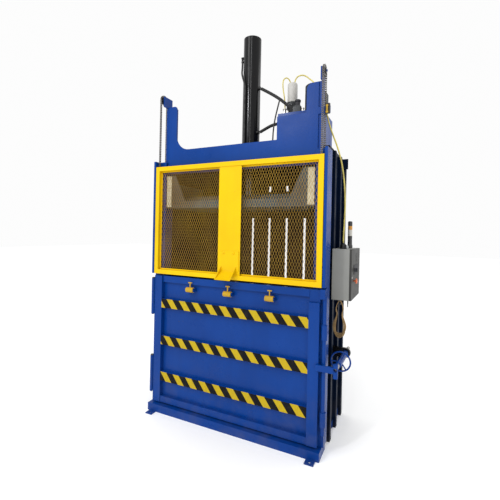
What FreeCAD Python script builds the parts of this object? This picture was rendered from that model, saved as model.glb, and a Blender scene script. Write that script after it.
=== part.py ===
"""Vertical hydraulic recycling baler with a sliding feed gate and a screw-locked bale door.

Part frame: X to the machine's right, Y from front to back, Z up, millimetres. The origin is
on the floor, midway between the corner posts, in the plane of the door and gate faces.
"""
import FreeCAD, Part
import Sketcher
import math
import os
import re

os.makedirs("parts", exist_ok=True)
doc = FreeCAD.newDocument("Baler")
sheet = doc.addObject("Spreadsheet::Sheet", "Sizes")
Vec = FreeCAD.Vector

SIZES = {
    # overall frame
    "half_width": 800, "body_back": 740, "base_height": 66, "base_front": -30,
    "base_half_width": 790, "base_wall": 6, "floor_thick": 10,
    "post_width": 100, "post_front": 50, "post_depth": 100, "post_wall": 5, "post_top": 2265,
    "gate_lip_gap": 5,
    "chamber_half": 706, "wall_skin": 778, "wall_sheet": 6, "wall_top": 2310,
    "rib_thick": 45, "rib_reach": 26, "front_rib_back": 295, "middle_rib_back": 520,
    "rear_inner": 650, "rear_sheet": 8,
    "slot_pitch": 178, "slot_width": 22, "slot_low": 1198, "slot_high": 1778,
    "window_low": 2036, "window_high": 2088, "column_width": 60,
    "foot_width": 68, "foot_reach": 60, "foot_thick": 8, "anchor_hole": 9, "anchor_inset": 28,
    "anchor_half_span": 730,
    # header over the feed opening
    "header_front": 74, "header_thick": 10, "header_low": 2155, "header_edge": 2371,
    "header_arc": 140, "ear_inner": 612, "ear_outer": 705, "ear_top": 2775, "ear_round": 45,
    "step_left": 374, "step_top": 2553, "ear_post_in": 655, "ear_post_out": 735,
    "ear_post_wall": 5,
    "crown_low": 2200, "crown_high": 2340, "crown_half_gap": 100, "crown_width": 75,
    "crown_plate": 20,
    # press
    "ram_back": 375, "tube_radius": 80, "bore_radius": 68, "tube_low": 2190, "tube_top": 3383,
    "cap_height": 15, "gland_height": 80, "rod_radius": 45, "rod_fit": 0.05,
    "piston_height": 70, "piston_low": 3300,
    "platen_half": 692, "platen_front": 62, "platen_rear": 640, "platen_low": 1840,
    "platen_plate": 25, "platen_band": 66, "platen_skirt": 8, "platen_end_top": 2140,
    "gusset_run": 200, "strip_inner": 640, "strip_thick": 6, "strip_low": 1852,
    "platen_beam": 120,
    # feed gate
    "gate_half": 774, "gate_low": 1243, "gate_high": 2213, "gate_depth": 42, "gate_tube": 38,
    "gate_tube_wall": 3, "mesh_thick": 1.5, "mesh_back": 30,
    "panel_half": 104, "panel_thick": 3, "pull_half": 92, "pull_top": 1478, "pull_thick": 5,
    "crease_height": 1309, "flap_half": 72, "flap_reach": 100, "flap_low": 1252,
    "gusset_top": 1352, "bolt_spread": 47, "bolt_height": 1461, "bolt_radius": 11,
    # chains and sprockets
    "sprocket_side": 750, "sprocket_back": 61, "sprocket_height": 2840, "pitch_radius": 40.7,
    "tip_radius": 45, "tooth_count": 16, "roller_radius": 5.2, "tooth_width": 8.4,
    "plate_gap": 4.9, "link_thick": 2.4, "link_half": 6.5, "hub_radius": 20, "hub_width": 24,
    "axle_radius": 8, "axle_fit": 0.05,
    "weight_low": 1700, "weight_high": 2150, "weight_half": 37, "weight_depth": 34,
    "seat_gap": 0.3,
    # bale door
    "door_half": 763, "door_low": 80, "door_top": 1225, "door_depth": 48, "stile_width": 80,
    "door_sheet_front": 40, "door_sheet_top": 1168, "door_sheet_thick": 6, "notch_low": 1130,
    "notch_back": 20, "rail_height": 55, "rib_high": 80, "rib_one": 278, "rib_two": 605,
    "rib_three": 938, "hinge_side": 779, "knuckle_radius": 15, "pin_radius": 8,
    "upper_hinge_low": 872, "lower_hinge_low": 165, "hinge_length": 324, "knuckle_gap": 1,
    # dog levers on the door
    "dog_side": 372, "dog_height": 1124, "dog_radius": 22, "dog_length": 70, "dog_pin": 7,
    "dog_rod": 5, "dog_rise": 62, "dog_bar": 36, "lug_thick": 6, "lug_gap": 1,
    # door lock
    "arm_left": 745, "arm_thick": 18, "arm_low": 646, "arm_high": 690, "screw_side": 889,
    "screw_height": 676, "screw_radius": 13, "screw_fit": 0.5, "barrel_radius": 17,
    "barrel_low": 616, "barrel_high": 714, "screw_back": 520, "sleeve_front": 90,
    "sleeve_back": 379.7, "sleeve_radius": 22, "wheel_back": 175, "wheel_radius": 78,
    "wheel_rim": 6, "spoke_radius": 5, "bracket_back": 380, "bracket_thick": 24,
    "bracket_half": 38, "lock_rod_side": 797, "lock_rod_back": 24, "lock_rod_radius": 15,
    "clamp_radius": 22, "clamp_length": 108, "clamp_one": 232, "clamp_two": 864,
    "block_low": 1160, "block_high": 1231,
    # power unit behind the header
    "tank_left": 312, "tank_right": 690, "tank_front": 250, "tank_back": 620,
    "tank_low": 2340, "tank_high": 2640, "motor_side": 575, "motor_back": 430,
    "motor_radius": 82, "motor_high": 2905, "filter_side": 372, "filter_back": 440,
    "filter_radius": 47, "filter_low": 2790, "filter_high": 2968,
    # control box
    "box_in": 804, "box_out": 950, "box_front": 205, "box_back": 615, "box_low": 1130, "box_high": 1520,
    "box_wall": 2, "lid_thick": 16, "lid_gap": 0.6, "lid_barrel": 4, "knob_radius": 16,
    "knob_height": 1356, "stop_height": 1270, "button_back": 330, "beacon_radius": 18,
    "beacon_side": 885, "beacon_back": 500, "beacon_high": 1745, "shank_radius": 6,
    "gland_side": 868, "gland_back": 300, "gland_radius": 10, "gland_height_over": 22,
    # hoses and cord rest
    "hose_side": 401, "hose_back": 360, "port_length": 15, "port_radius": 16,
    "bell_height": 60, "cowl_height": 60, "head_height": 60,
    "hank_back": 262, "hank_side": 858, "hank_high": 1125, "hank_low": 828,
    "hank_radius": 14, "hank_bend": 38, "loop_side": 870, "loop_back": 550,
    "switch_side": 758, "switch_low": 2523,
}

CABLE_ROUTE = [
    (390, 440, 2968.3), (392, 446, 2994), (412, 449, 3024), (452, 450, 3030), (492, 430, 3006),
    (534, 380, 2958), (580, 300, 2900), (625, 215, 2840), (668, 180, 2775), (708, 180, 2690),
    (736, 180, 2600), (756, 184, 2500), (790, 190, 2400), (828, 200, 2300), (856, 215, 2195),
    (872, 235, 2080), (880, 258, 1960), (880, 278, 1830), (873, 292, 1715), (868, 300, 1620),
    (868, 300, 1550),
]
LOOP_ROUTE = [
    (354, 428, 2968.3), (350, 424, 2990), (330, 404, 3010), (306, 390, 2996), (298, 385, 2960),
    (302, 385, 2905), (312, 388, 2850), (320, 390, 2790), (322, 391, 2730),
    (322, 391, 2640.3),
]

for line, (alias, value) in enumerate(SIZES.items(), start=1):
    sheet.set(f"A{line}", alias)
    sheet.set(f"B{line}", str(value))
    sheet.setAlias(f"B{line}", alias)
doc.recompute()

WORDS = re.compile(r"[a-z]+(?:_[a-z]+)+")
nodes = []


def size(alias):
    """The value of one named size."""
    return float(sheet.get(alias))


def value_of(text):
    """The present value of a sum written with plain size names, worked out by the sheet."""
    sheet.set("D1", "=" + str(text))
    sheet.recompute()
    return float(sheet.get("D1"))


def bind(thing, prop, text):
    """Ties a property to an expression in which sizes go by their plain names."""
    thing.setExpression(prop, WORDS.sub(lambda word: "Sizes." + word.group(0), str(text)))


def place(thing, x, y, z):
    """Ties the position of a primitive."""
    bind(thing, "Placement.Base.x", x)
    bind(thing, "Placement.Base.y", y)
    bind(thing, "Placement.Base.z", z)
    return thing


def box(x, y, z):
    """A block between two expressions along each axis."""
    thing = doc.addObject("Part::Box", "Block")
    for prop, (low, high) in zip(("Length", "Width", "Height"), (x, y, z)):
        bind(thing, prop, f"({high}) - ({low})")
    return place(thing, x[0], y[0], z[0])


def rod(start, along, length, radius):
    """A cylinder from a start point along +X, +Y or +Z."""
    thing = doc.addObject("Part::Cylinder", "Rod")
    bind(thing, "Radius", radius)
    bind(thing, "Height", length)
    turn = {"X": (Vec(0, 1, 0), 90), "Y": (Vec(1, 0, 0), -90), "Z": (Vec(0, 0, 1), 0)}[along]
    thing.Placement = FreeCAD.Placement(Vec(), FreeCAD.Rotation(*turn))
    return place(thing, *start)


def joined(things):
    """The union of several primitives."""
    thing = doc.addObject("Part::MultiFuse", "Union")
    thing.Shapes = things
    thing.Refine = True
    return thing


def carved(base, tools):
    """A primitive less the tools."""
    thing = doc.addObject("Part::Cut", "Carved")
    thing.Base = base
    thing.Tool = tools[0] if len(tools) == 1 else joined(tools)
    thing.Refine = True
    return thing


def group(things):
    """Several separate solids that share one node."""
    thing = doc.addObject("Part::Compound", "Group")
    thing.Links = things
    return thing


def node(thing, label):
    """Names a finished sub-part."""
    thing.Label = label
    nodes.append(thing)
    return thing


def shaped(shape, label):
    """A sub-part whose shape comes from the geometry functions."""
    thing = doc.addObject("Part::Feature", "Shaped")
    thing.Shape = shape
    thing.Placement = FreeCAD.Placement()
    return node(thing, label)


def span(centre, width):
    """Low and high expressions about a centre."""
    return (f"{centre} - ({width}) / 2", f"{centre} + ({width}) / 2")


def sided(side, near, far):
    """A range of X on one side: near and far are distances from the middle."""
    return (near, far) if side > 0 else (f"-({far})", f"-({near})")


def profile(label, plane, points, start, thickness, fillets=()):
    """A padded plate: points are pairs of expressions in the plane's own axes."""
    body = doc.addObject("PartDesign::Body", "Body")
    sketch = body.newObject("Sketcher::SketchObject", "Outline")
    origin = [f for f in body.Origin.OriginFeatures if f.Role == plane][0]
    sketch.AttachmentSupport = [(origin, "")]
    sketch.MapMode = "FlatFace"
    bind(sketch, "AttachmentOffset.Base.z", start)
    count = len(points)
    spots = [tuple(value_of(text) for text in pair) for pair in points]
    for index in range(count):
        first, last = spots[index], spots[(index + 1) % count]
        sketch.addGeometry(Part.LineSegment(Vec(*first, 0), Vec(*last, 0)), False)
    for index in range(count):
        follower = (index + 1) % count
        sketch.addConstraint(Sketcher.Constraint("Coincident", index, 2, follower, 1))
    for index, pair in enumerate(points):
        for kind, text, value in zip(("DistanceX", "DistanceY"), pair, spots[index]):
            spot = sketch.addConstraint(Sketcher.Constraint(kind, -1, 1, index, 1, value))
            bind(sketch, f"Constraints[{spot}]", text)
    pad = body.newObject("PartDesign::Pad", "Thickness")
    pad.Profile = sketch
    bind(pad, "Length", thickness)
    doc.recompute()
    last_feature = pad
    for index, radius in fillets:
        corner = spots[index]
        flat = {"XZ_Plane": (0, 2), "XY_Plane": (0, 1), "YZ_Plane": (1, 2)}[plane]
        names = []
        for number, edge in enumerate(last_feature.Shape.Edges, start=1):
            ends = [(v.Point[flat[0]], v.Point[flat[1]]) for v in edge.Vertexes]
            if len(ends) == 2 and all(math.dist(end, corner) < 0.01 for end in ends):
                names.append(f"Edge{number}")
        rounding = body.newObject("PartDesign::Fillet", "Rounding")
        rounding.Base = (last_feature, names)
        bind(rounding, "Radius", radius)
        body.Tip = rounding
        last_feature = rounding
        doc.recompute()
    return node(body, label) if label else body


def tube_path(points):
    """Straight runs joined by tangent arcs, each as large as its two runs allow."""
    spots = [Vec(*point) for point in points]
    edges = []
    radii = []
    start = spots[0]
    for before, corner, after in zip(spots, spots[1:], spots[2:]):
        back = (before - corner).normalize()
        ahead = (after - corner).normalize()
        half_turn = (math.pi - back.getAngle(ahead)) / 2
        shorter = min((before - corner).Length, (after - corner).Length)
        reach = 0.45 * shorter
        radius = reach / math.tan(half_turn)
        middle = (back + ahead).normalize()
        centre = corner + middle * (radius / math.cos(half_turn))
        enter = corner + back * reach
        leave = corner + ahead * reach
        edges.append(Part.LineSegment(start, enter).toShape())
        edges.append(Part.Arc(enter, centre - middle * radius, leave).toShape())
        radii.append(radius)
        start = leave
    edges.append(Part.LineSegment(start, spots[-1]).toShape())
    return Part.Wire(edges), radii


def tube(label, points, radius):
    """A solid cord or pipe of one radius along a route, with its volume checked."""
    wire, radii = tube_path(points)
    ring = Part.Circle(Vec(*points[0]), Vec(*points[1]) - Vec(*points[0]), radius)
    shell = wire.makePipeShell([Part.Wire([ring.toShape()])], True, False, 2)
    expected = math.pi * radius ** 2 * wire.Length
    print(f"{label}: length {wire.Length:.0f}, smallest arc {min(radii):.0f}, "
          f"volume ratio {shell.Volume / expected:.4f}")
    return shaped(shell, label)


# ---- base, posts, walls ---------------------------------------------------------------------
def base_frame():
    """Front beam, side sills with fork openings between the ribs, cross beams and chamber floor."""
    wide = ("-base_half_width", "base_half_width")
    front = box(wide, ("base_front", "post_front + post_depth"), ("0", "base_height"))
    hollow = box(("-base_half_width + 40", "base_half_width - 40"),
                 ("base_front + base_wall", "post_front + post_depth - base_wall"),
                 ("base_wall", "base_height - base_wall"))
    pieces = [carved(front, [hollow])]
    for back in ("middle_rib_back", "body_back"):
        pieces.append(box(("-wall_skin", "wall_skin"), (f"{back} - 70", back),
                          ("0", "base_height")))
    for side in (-1, 1):
        sill = sided(side, "wall_skin - 80", "wall_skin")
        pieces.append(box(sill, ("post_front", "body_back"), ("base_height / 2", "base_height")))
    floor = box(("-(half_width - post_width)", "half_width - post_width"),
                ("post_front", "rear_inner"),
                ("base_height", "base_height + floor_thick"))
    return node(joined(pieces + [floor]), "base_frame")


def anchor_feet():
    """Four thin foot plates that stand out past the base, each with an anchor hole."""
    feet = []
    for side in (-1, 1):
        x = span(f"{side} * anchor_half_span", "foot_width")
        for edge, away in (("base_front", -1), ("body_back", 1)):
            far = f"{edge} + {away} * foot_reach"
            y = (far, edge) if away < 0 else (edge, far)
            plate = box(x, y, ("0", "foot_thick"))
            spot = (f"{side} * anchor_half_span", f"{far} - {away} * anchor_inset", "-1")
            feet.append(carved(plate, [rod(spot, "Z", "foot_thick + 2", "anchor_hole")]))
    return node(group(feet), "anchor_feet")


def corner_post(side, label):
    """A hollow front post that the counterweight runs in, with the gate's guide lip in front."""
    outer = box(sided(side, "half_width - post_width", "half_width"),
                ("post_front", "post_front + post_depth"), ("base_height", "post_top"))
    inner = box(sided(side, "half_width - post_width + post_wall", "half_width - post_wall"),
                ("post_front + post_wall", "post_front + post_depth - post_wall"),
                ("base_height - 1", "post_top - post_wall"))
    chain = rod((f"{side} * sprocket_side", "sprocket_back + pitch_radius", "post_top - 20"),
                "Z", "40", "link_half * 2")
    lip = box(sided(side, "gate_half + gate_lip_gap", "half_width"), ("0", "post_front"),
              ("gate_low", "post_top"))
    return node(carved(joined([outer, lip]), [inner, chain]), label)


def side_wall(side, label):
    """A double-skin side panel with three outward ribs and a lifting lug at its rear top."""
    start = "post_front + post_depth"
    outer = box(sided(side, "chamber_half", "wall_skin"), (start, "body_back"),
                ("base_height", "wall_top"))
    inner = box(sided(side, "chamber_half + wall_sheet", "wall_skin - wall_sheet"),
                (f"{start} + wall_sheet", "body_back - wall_sheet"),
                ("base_height - 1", "wall_top - wall_sheet"))
    ribs = []
    for back in ("front_rib_back", "middle_rib_back", "body_back"):
        ribs.append(box(sided(side, "wall_skin", "wall_skin + rib_reach"),
                        (f"{back} - rib_thick", back), ("0", "wall_top - 20")))
    lug = box(sided(side, "wall_skin", "half_width + 24"), ("body_back - 60", "body_back - 46"),
              ("wall_top - 90", "wall_top"))
    return node(carved(joined([outer, lug] + ribs), [inner]), label)


def rear_wall():
    """The rear sheet with strap slots and short windows, stiffened by columns behind."""
    plate = box(("-chamber_half + 1", "chamber_half - 1"),
                ("rear_inner", "rear_inner + rear_sheet"),
                ("base_height + floor_thick", "wall_top"))
    columns = []
    cuts = []
    for step in range(-3, 4):
        columns.append(box(span(f"{step} * slot_pitch", "column_width"),
                           ("rear_inner + rear_sheet", "body_back"),
                           ("base_height", "wall_top")))
    for step in range(6):
        across = span(f"({step} - 2.5) * slot_pitch", "slot_width")
        through = ("rear_inner - 1", "rear_inner + rear_sheet + 1")
        cuts.append(box(across, through, ("slot_low", "slot_high")))
        if step in (3, 4):
            cuts.append(box(across, through, ("window_low", "window_high")))
    return node(carved(joined([plate] + columns), cuts), "rear_wall")


# ---- header and crown -----------------------------------------------------------------------
def header_frame():
    """Profile-cut header plate with its two ears and the hollow posts behind them."""
    points = [
        ("-(half_width - post_width)", "header_low"), ("half_width - post_width", "header_low"),
        ("half_width - post_width", "post_top"), ("ear_outer", "post_top"),
        ("ear_outer", "ear_top"),
        ("ear_inner", "ear_top"), ("ear_inner", "step_top"), ("step_left", "step_top"),
        ("step_left", "header_edge"), ("-ear_inner", "header_edge"), ("-ear_inner", "ear_top"),
        ("-ear_outer", "ear_top"), ("-ear_outer", "post_top"),
        ("-(half_width - post_width)", "post_top"),
    ]
    rounds = [(5, "ear_round"), (9, "header_arc"), (10, "ear_round / 2")]
    plate = profile("", "XZ_Plane", points, "-(header_front + header_thick)", "header_thick",
                    rounds)
    posts = []
    for side in (-1, 1):
        back = "header_front + header_thick"
        outer = box(sided(side, "ear_post_in", "ear_post_out"),
                    (back, "post_front + post_depth"), ("post_top", "ear_top"))
        inner = box(sided(side, "ear_post_in + ear_post_wall", "ear_post_out - ear_post_wall"),
                    (f"{back} + ear_post_wall", "post_front + post_depth - ear_post_wall"),
                    ("post_top - 1", "ear_top + 1"))
        posts.append(carved(outer, [inner]))
    posts.append(box(("ear_outer - 5", "switch_side + 36"),
                     ("header_front", "header_front + header_thick"),
                     ("switch_low + 10", "switch_low + 60")))
    return node(joined([plate] + posts), "header_frame")


def crown_beam():
    """Two deep cross channels and a mounting plate that carry the cylinder."""
    pieces = []
    for way in (-1, 1):
        near = f"ram_back + {way} * (crown_half_gap + crown_width / 2)"
        pieces.append(box(("-chamber_half", "chamber_half"), span(near, "crown_width"),
                          ("crown_low", "crown_high - crown_plate")))
    plate = box(("-chamber_half", "chamber_half"),
                ("ram_back - crown_half_gap - crown_width",
                 "ram_back + crown_half_gap + crown_width"),
                ("crown_high - crown_plate", "crown_high"))
    bore = rod(("0", "ram_back", "crown_low - 1"), "Z", "crown_high - crown_low + 2",
               "tube_radius")
    return node(carved(joined(pieces + [plate]), [bore]), "crown_beam")


def cylinder():
    """The press cylinder: barrel, gland at its lower end, cap and port at its upper end."""
    outer = rod(("0", "ram_back", "tube_low"), "Z", "tube_top - tube_low", "tube_radius")
    inner = rod(("0", "ram_back", "tube_low + gland_height"), "Z", "tube_top - tube_low",
                "bore_radius")
    neck = rod(("0", "ram_back", "tube_low - 1"), "Z", "gland_height + 2",
               "rod_radius + rod_fit")
    bosses = [rod(("tube_radius - 8", back, high), "X", "24", "port_radius")
              for back, high in (("360", "2936"), ("352", "2536"))]
    node(carved(joined([outer] + bosses), [inner, neck]), "cylinder_barrel")
    cap = rod(("0", "ram_back", "tube_top"), "Z", "cap_height", "tube_radius")
    port = rod(("-tube_radius - 14", "ram_back - 30", "tube_top - 150"), "X", "60", "11")
    elbow = rod(("-tube_radius - 6", "ram_back - 30", "tube_top - 190"), "Z", "40", "9")
    trim = rod(("0", "ram_back", "tube_top - 200"), "Z", "199", "tube_radius")
    node(group([cap, carved(joined([port, elbow]), [trim])]), "cylinder_cap")


# ---- press platen ---------------------------------------------------------------------------
def platen():
    """Bottom plate with a front skirt, end gussets and two beams that meet the ram."""
    base = box(("-platen_half", "platen_half"), ("platen_front", "platen_rear"),
               ("platen_low", "platen_low + platen_plate"))
    points = [
        ("-platen_half", "platen_low"), ("platen_half", "platen_low"),
        ("platen_half", "platen_end_top"), ("platen_half - 90", "platen_end_top"),
        ("platen_half - gusset_run", "platen_low + platen_band"),
        ("-platen_half + gusset_run", "platen_low + platen_band"),
        ("-platen_half + 90", "platen_end_top"), ("-platen_half", "platen_end_top"),
    ]
    skirt = profile("", "XZ_Plane", points, "-(platen_front + platen_skirt)", "platen_skirt")
    beams = []
    for way in (-1, 1):
        beams.append(box(("-platen_half + 20", "platen_half - 20"),
                         span(f"ram_back + {way} * 120", "40"),
                         ("platen_low + platen_plate", "platen_low + platen_beam")))
    for side in (-1, 1):
        beams.append(box(sided(side, "platen_half - platen_skirt", "platen_half"),
                         ("platen_front", "platen_rear"),
                         ("platen_low", "platen_end_top - 60")))
    seat = rod(("0", "ram_back", "platen_low + platen_plate"), "Z", "platen_beam - 40",
               "rod_radius + 30")
    node(joined([base, skirt, seat] + beams), "platen")


def wear_strips():
    """Four plastic guide strips bolted on the platen's front corners and its ends."""
    strips = []
    for side in (-1, 1):
        strips.append(box(sided(side, "strip_inner", "platen_half"),
                          ("platen_front - strip_thick", "platen_front"),
                          ("strip_low", "platen_end_top - 8")))
        strips.append(box(sided(side, "platen_half", "platen_half + strip_thick"),
                          ("platen_front + 20", "platen_rear - 20"),
                          ("strip_low", "platen_end_top - 80")))
    node(group(strips), "wear_strips")


def piston_rod():
    """The ram: a rod seated on the platen, with the piston head inside the barrel."""
    low = "platen_low + platen_plate + platen_beam - 40"
    stem = rod(("0", "ram_back", low), "Z", f"piston_low - ({low})", "rod_radius")
    head = rod(("0", "ram_back", "piston_low"), "Z", "piston_height", "bore_radius - rod_fit")
    node(joined([stem, head]), "piston_rod")


# ---- feed gate ------------------------------------------------------------------------------
def feed_gate():
    """Square-tube gate frame, mesh sheet, centre panel and the bent pull plate."""
    outer = box(("-gate_half", "gate_half"), ("0", "gate_depth"), ("gate_low", "gate_high"))
    window = box(("-gate_half + gate_tube", "gate_half - gate_tube"), ("-1", "gate_depth + 1"),
                 ("gate_low + gate_tube", "gate_high - gate_tube"))
    core = []
    for x in (("-gate_half + gate_tube_wall", "-gate_half + gate_tube - gate_tube_wall"),
              ("gate_half - gate_tube + gate_tube_wall", "gate_half - gate_tube_wall")):
        core.append(box(x, ("gate_tube_wall", "gate_depth - gate_tube_wall"),
                        ("gate_low + gate_tube_wall", "gate_high - gate_tube_wall")))
    for z in (("gate_low + gate_tube_wall", "gate_low + gate_tube - gate_tube_wall"),
              ("gate_high - gate_tube + gate_tube_wall", "gate_high - gate_tube_wall")):
        core.append(box(("-gate_half + gate_tube", "gate_half - gate_tube"),
                        ("gate_tube_wall", "gate_depth - gate_tube_wall"), z))
    node(carved(outer, [window] + core), "gate_frame")
    inside = ("-gate_half + gate_tube", "gate_half - gate_tube")
    height = ("gate_low + gate_tube", "gate_high - gate_tube")
    node(box(inside, ("mesh_back", "mesh_back + mesh_thick"), height), "gate_mesh")
    node(box(("-panel_half", "panel_half"), ("6", "6 + panel_thick"), height), "gate_panel")
    plate = box(("-pull_half", "pull_half"), ("6 - pull_thick", "6"),
                ("crease_height", "pull_top"))
    side_view = [
        ("6 - pull_thick", "crease_height"), ("6", "crease_height"),
        ("-flap_reach + 6", "flap_low"), ("-flap_reach + 2", "flap_low - 4"),
    ]
    flap = profile("", "YZ_Plane", side_view, "-flap_half", "2 * flap_half")
    gusset_view = [
        ("6 - pull_thick", "gusset_top"), ("6 - pull_thick", "crease_height"),
        ("-flap_reach + 6", "flap_low + 1"),
    ]
    wings = [profile("", "YZ_Plane", gusset_view, "-flap_half", "pull_thick"),
             profile("", "YZ_Plane", gusset_view, "flap_half - pull_thick", "pull_thick")]
    node(joined([plate, flap] + wings), "gate_pull")
    bolts = []
    for side in (-1, 1):
        spot = (f"{side} * bolt_spread", "6 - pull_thick", "bolt_height")
        dome = doc.addObject("Part::Sphere", "Dome")
        bind(dome, "Radius", "bolt_radius")
        place(dome, *spot)
        keep = box(span(spot[0], "bolt_radius * 2.2"), ("6 - pull_thick - bolt_radius * 0.7",
                                                       "6 - pull_thick"),
                   span("bolt_height", "bolt_radius * 2.2"))
        head = doc.addObject("Part::MultiCommon", "Head")
        head.Shapes = [dome, keep]
        bolts.append(head)
    node(group(bolts), "gate_bolts")


# ---- chains, sprockets, counterweights ------------------------------------------------------
def link_plates(side, y, z):
    """The two outer strips of one straight chain run."""
    strips = []
    for way in (-1, 1):
        middle = f"{side} * sprocket_side + {way} * (plate_gap + link_thick / 2)"
        strips.append(box(span(middle, "link_thick"), y, z))
    return strips


def chains():
    """Front runs that carry the gate, and rear runs over the sprockets to the counterweights."""
    front_runs = []
    rear_runs = []
    for side in (-1, 1):
        front = "sprocket_back - pitch_radius"
        back = "sprocket_back + pitch_radius"
        front_runs += link_plates(side, span(front, "link_half * 2"),
                                  ("gate_high + seat_gap", "sprocket_height - seat_gap"))
        for way in (-1, 1):
            left = f"{side} * sprocket_side + {way} * (plate_gap + link_thick / 2)"
            start = (f"{left} - link_thick / 2", "sprocket_back", "sprocket_height")
            ring = rod(start, "X", "link_thick", "pitch_radius + link_half")
            hole = rod((f"{left} - link_thick / 2 - 1",) + start[1:], "X", "link_thick + 2",
                       "pitch_radius - link_half")
            below = box(span(left, "link_thick + 2"),
                        ("sprocket_back - 60", "sprocket_back + 60"),
                        ("sprocket_height - 60", "sprocket_height"))
            arc = carved(ring, [hole, below])
            drop = box(span(left, "link_thick"), span(back, "link_half * 2"),
                       ("weight_high + seat_gap", "sprocket_height"))
            rear_runs.append(joined([arc, drop]))
    node(group(front_runs), "front_chains")
    node(group(rear_runs), "rear_chains")


def sprocket_disc(side):
    """A toothed disc on a hub with a running bore, about the sprocket axis."""
    centre = Vec(side * size("sprocket_side"), size("sprocket_back"), size("sprocket_height"))
    axis = Vec(1, 0, 0)
    wide = size("tooth_width")
    disc = Part.makeCylinder(size("tip_radius"), wide, centre - axis * wide / 2, axis)
    for tooth in range(int(size("tooth_count"))):
        angle = 2 * math.pi * tooth / size("tooth_count")
        offset = Vec(0, math.cos(angle), math.sin(angle)) * size("pitch_radius")
        disc = disc.cut(Part.makeCylinder(size("roller_radius"), wide + 2,
                                          centre + offset - axis * (wide / 2 + 1), axis))
    hub_width = size("hub_width")
    hub = Part.makeCylinder(size("hub_radius"), hub_width, centre - axis * hub_width / 2, axis)
    bore = Part.makeCylinder(size("axle_radius") + size("axle_fit"), hub_width + 2,
                             centre - axis * (hub_width / 2 + 1), axis)
    return disc.fuse(hub).cut(bore).removeSplitter()


def sprockets():
    """Both chain sprockets, on one axis."""
    shaped(Part.makeCompound([sprocket_disc(side) for side in (-1, 1)]), "sprockets")


def sprocket_brackets():
    """Cheek plates on top of the ear posts, with the axle that each sprocket turns on."""
    brackets = []
    for side in (-1, 1):
        cheeks = []
        for near, far in (("ear_post_out - 10", "ear_post_out"),):
            cheeks.append(box(sided(side, near, far),
                              ("sprocket_back - 24", "sprocket_back + 89"),
                              ("ear_top", "sprocket_height + 30")))
        start = "ear_post_out" if side > 0 else "-(sprocket_side + 20)"
        cheeks.append(rod((start, "sprocket_back", "sprocket_height"), "X",
                          "sprocket_side + 20 - ear_post_out", "axle_radius"))
        tie = box(sided(side, "ear_post_in + 10", "ear_post_out"),
                  ("sprocket_back + 30", "sprocket_back + 89"), ("ear_top", "ear_top + 8"))
        brackets.append(joined(cheeks + [tie]))
    node(group(brackets), "sprocket_brackets")


def counterweights():
    """The two steel counterweights inside the front posts."""
    weights = []
    for side in (-1, 1):
        weights.append(box(span(f"{side} * sprocket_side", "weight_half * 2"),
                           span("sprocket_back + pitch_radius", "weight_depth * 2"),
                           ("weight_low", "weight_high")))
    node(group(weights), "counterweights")


# ---- bale door ------------------------------------------------------------------------------
def bale_door():
    """Door frame of stiles and rails, recessed sheet and three hazard ribs."""
    left = box(("-door_half", "-door_half + stile_width"), ("0", "door_depth"),
               ("door_low", "door_top"))
    right = box(("door_half - stile_width", "door_half"), ("0", "door_depth"),
                ("door_low", "door_top"))
    notch = box(("door_half - stile_width - 1", "door_half + 1"), ("-1", "notch_back"),
                ("notch_low", "door_top + 1"))
    between = ("-door_half + stile_width", "door_half - stile_width")
    top = box(between, ("door_sheet_front - 24", "door_depth"),
              ("door_sheet_top", "door_top"))
    bottom = box(between, ("6", "door_depth"), ("door_low", "door_low + rail_height"))
    hooks = door_knuckles()
    node(joined([left, carved(right, [notch]), top, bottom] + hooks), "door_frame")
    node(box(between, ("door_sheet_front", "door_sheet_front + door_sheet_thick"),
             ("door_low + rail_height", "door_sheet_top")), "door_sheet")
    for count, low in enumerate(("rib_one", "rib_two", "rib_three"), start=1):
        rib = box(between, ("0", "door_sheet_front"), (low, f"{low} + rib_high"))
        core = box(("-door_half + stile_width - 1", "door_half - stile_width + 1"),
                   ("4", "door_sheet_front"),
                   (f"{low} + 4", f"{low} + rib_high - 4"))
        node(carved(rib, [core]), f"hazard_rib_{count}")


def knuckle(low, high, leaf):
    """One hinge knuckle with its leaf, bored for the pin."""
    length = f"({high}) - ({low})"
    barrel = rod(("-hinge_side", "0", low), "Z", length, "knuckle_radius")
    bore = rod(("-hinge_side", "0", f"{low} - 1"), "Z", f"{length} + 2", "pin_radius + axle_fit")
    return carved(joined([barrel, box(*leaf, (low, high))]), [bore])


def door_knuckles():
    """The middle knuckle of each hinge, on the door's left edge."""
    leaf = (("-hinge_side", "-door_half + 1"), ("4", "14"))
    middle = []
    for low in ("upper_hinge_low", "lower_hinge_low"):
        middle.append(knuckle(f"{low} + hinge_length / 3 + knuckle_gap",
                              f"{low} + hinge_length * 2 / 3 - knuckle_gap", leaf))
    return middle


def frame_hinges():
    """The outer knuckles of both hinges, on the left post, and the pins through them."""
    leaf = (("-half_width + 4", "-half_width + 16"), ("0", "post_front"))
    outer = []
    pins = []
    for low in ("upper_hinge_low", "lower_hinge_low"):
        outer.append(knuckle(low, f"{low} + hinge_length / 3", leaf))
        outer.append(knuckle(f"{low} + hinge_length * 2 / 3", f"{low} + hinge_length", leaf))
        stem = rod(("-hinge_side", "0", f"{low} - 6"), "Z", "hinge_length + 12", "pin_radius")
        crown = rod(("-hinge_side", "0", f"{low} + hinge_length + 1"), "Z", "9",
                    "pin_radius + 5")
        pins.append(joined([stem, crown]))
    node(group(outer), "frame_hinges")
    node(group(pins), "hinge_pins")


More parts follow.
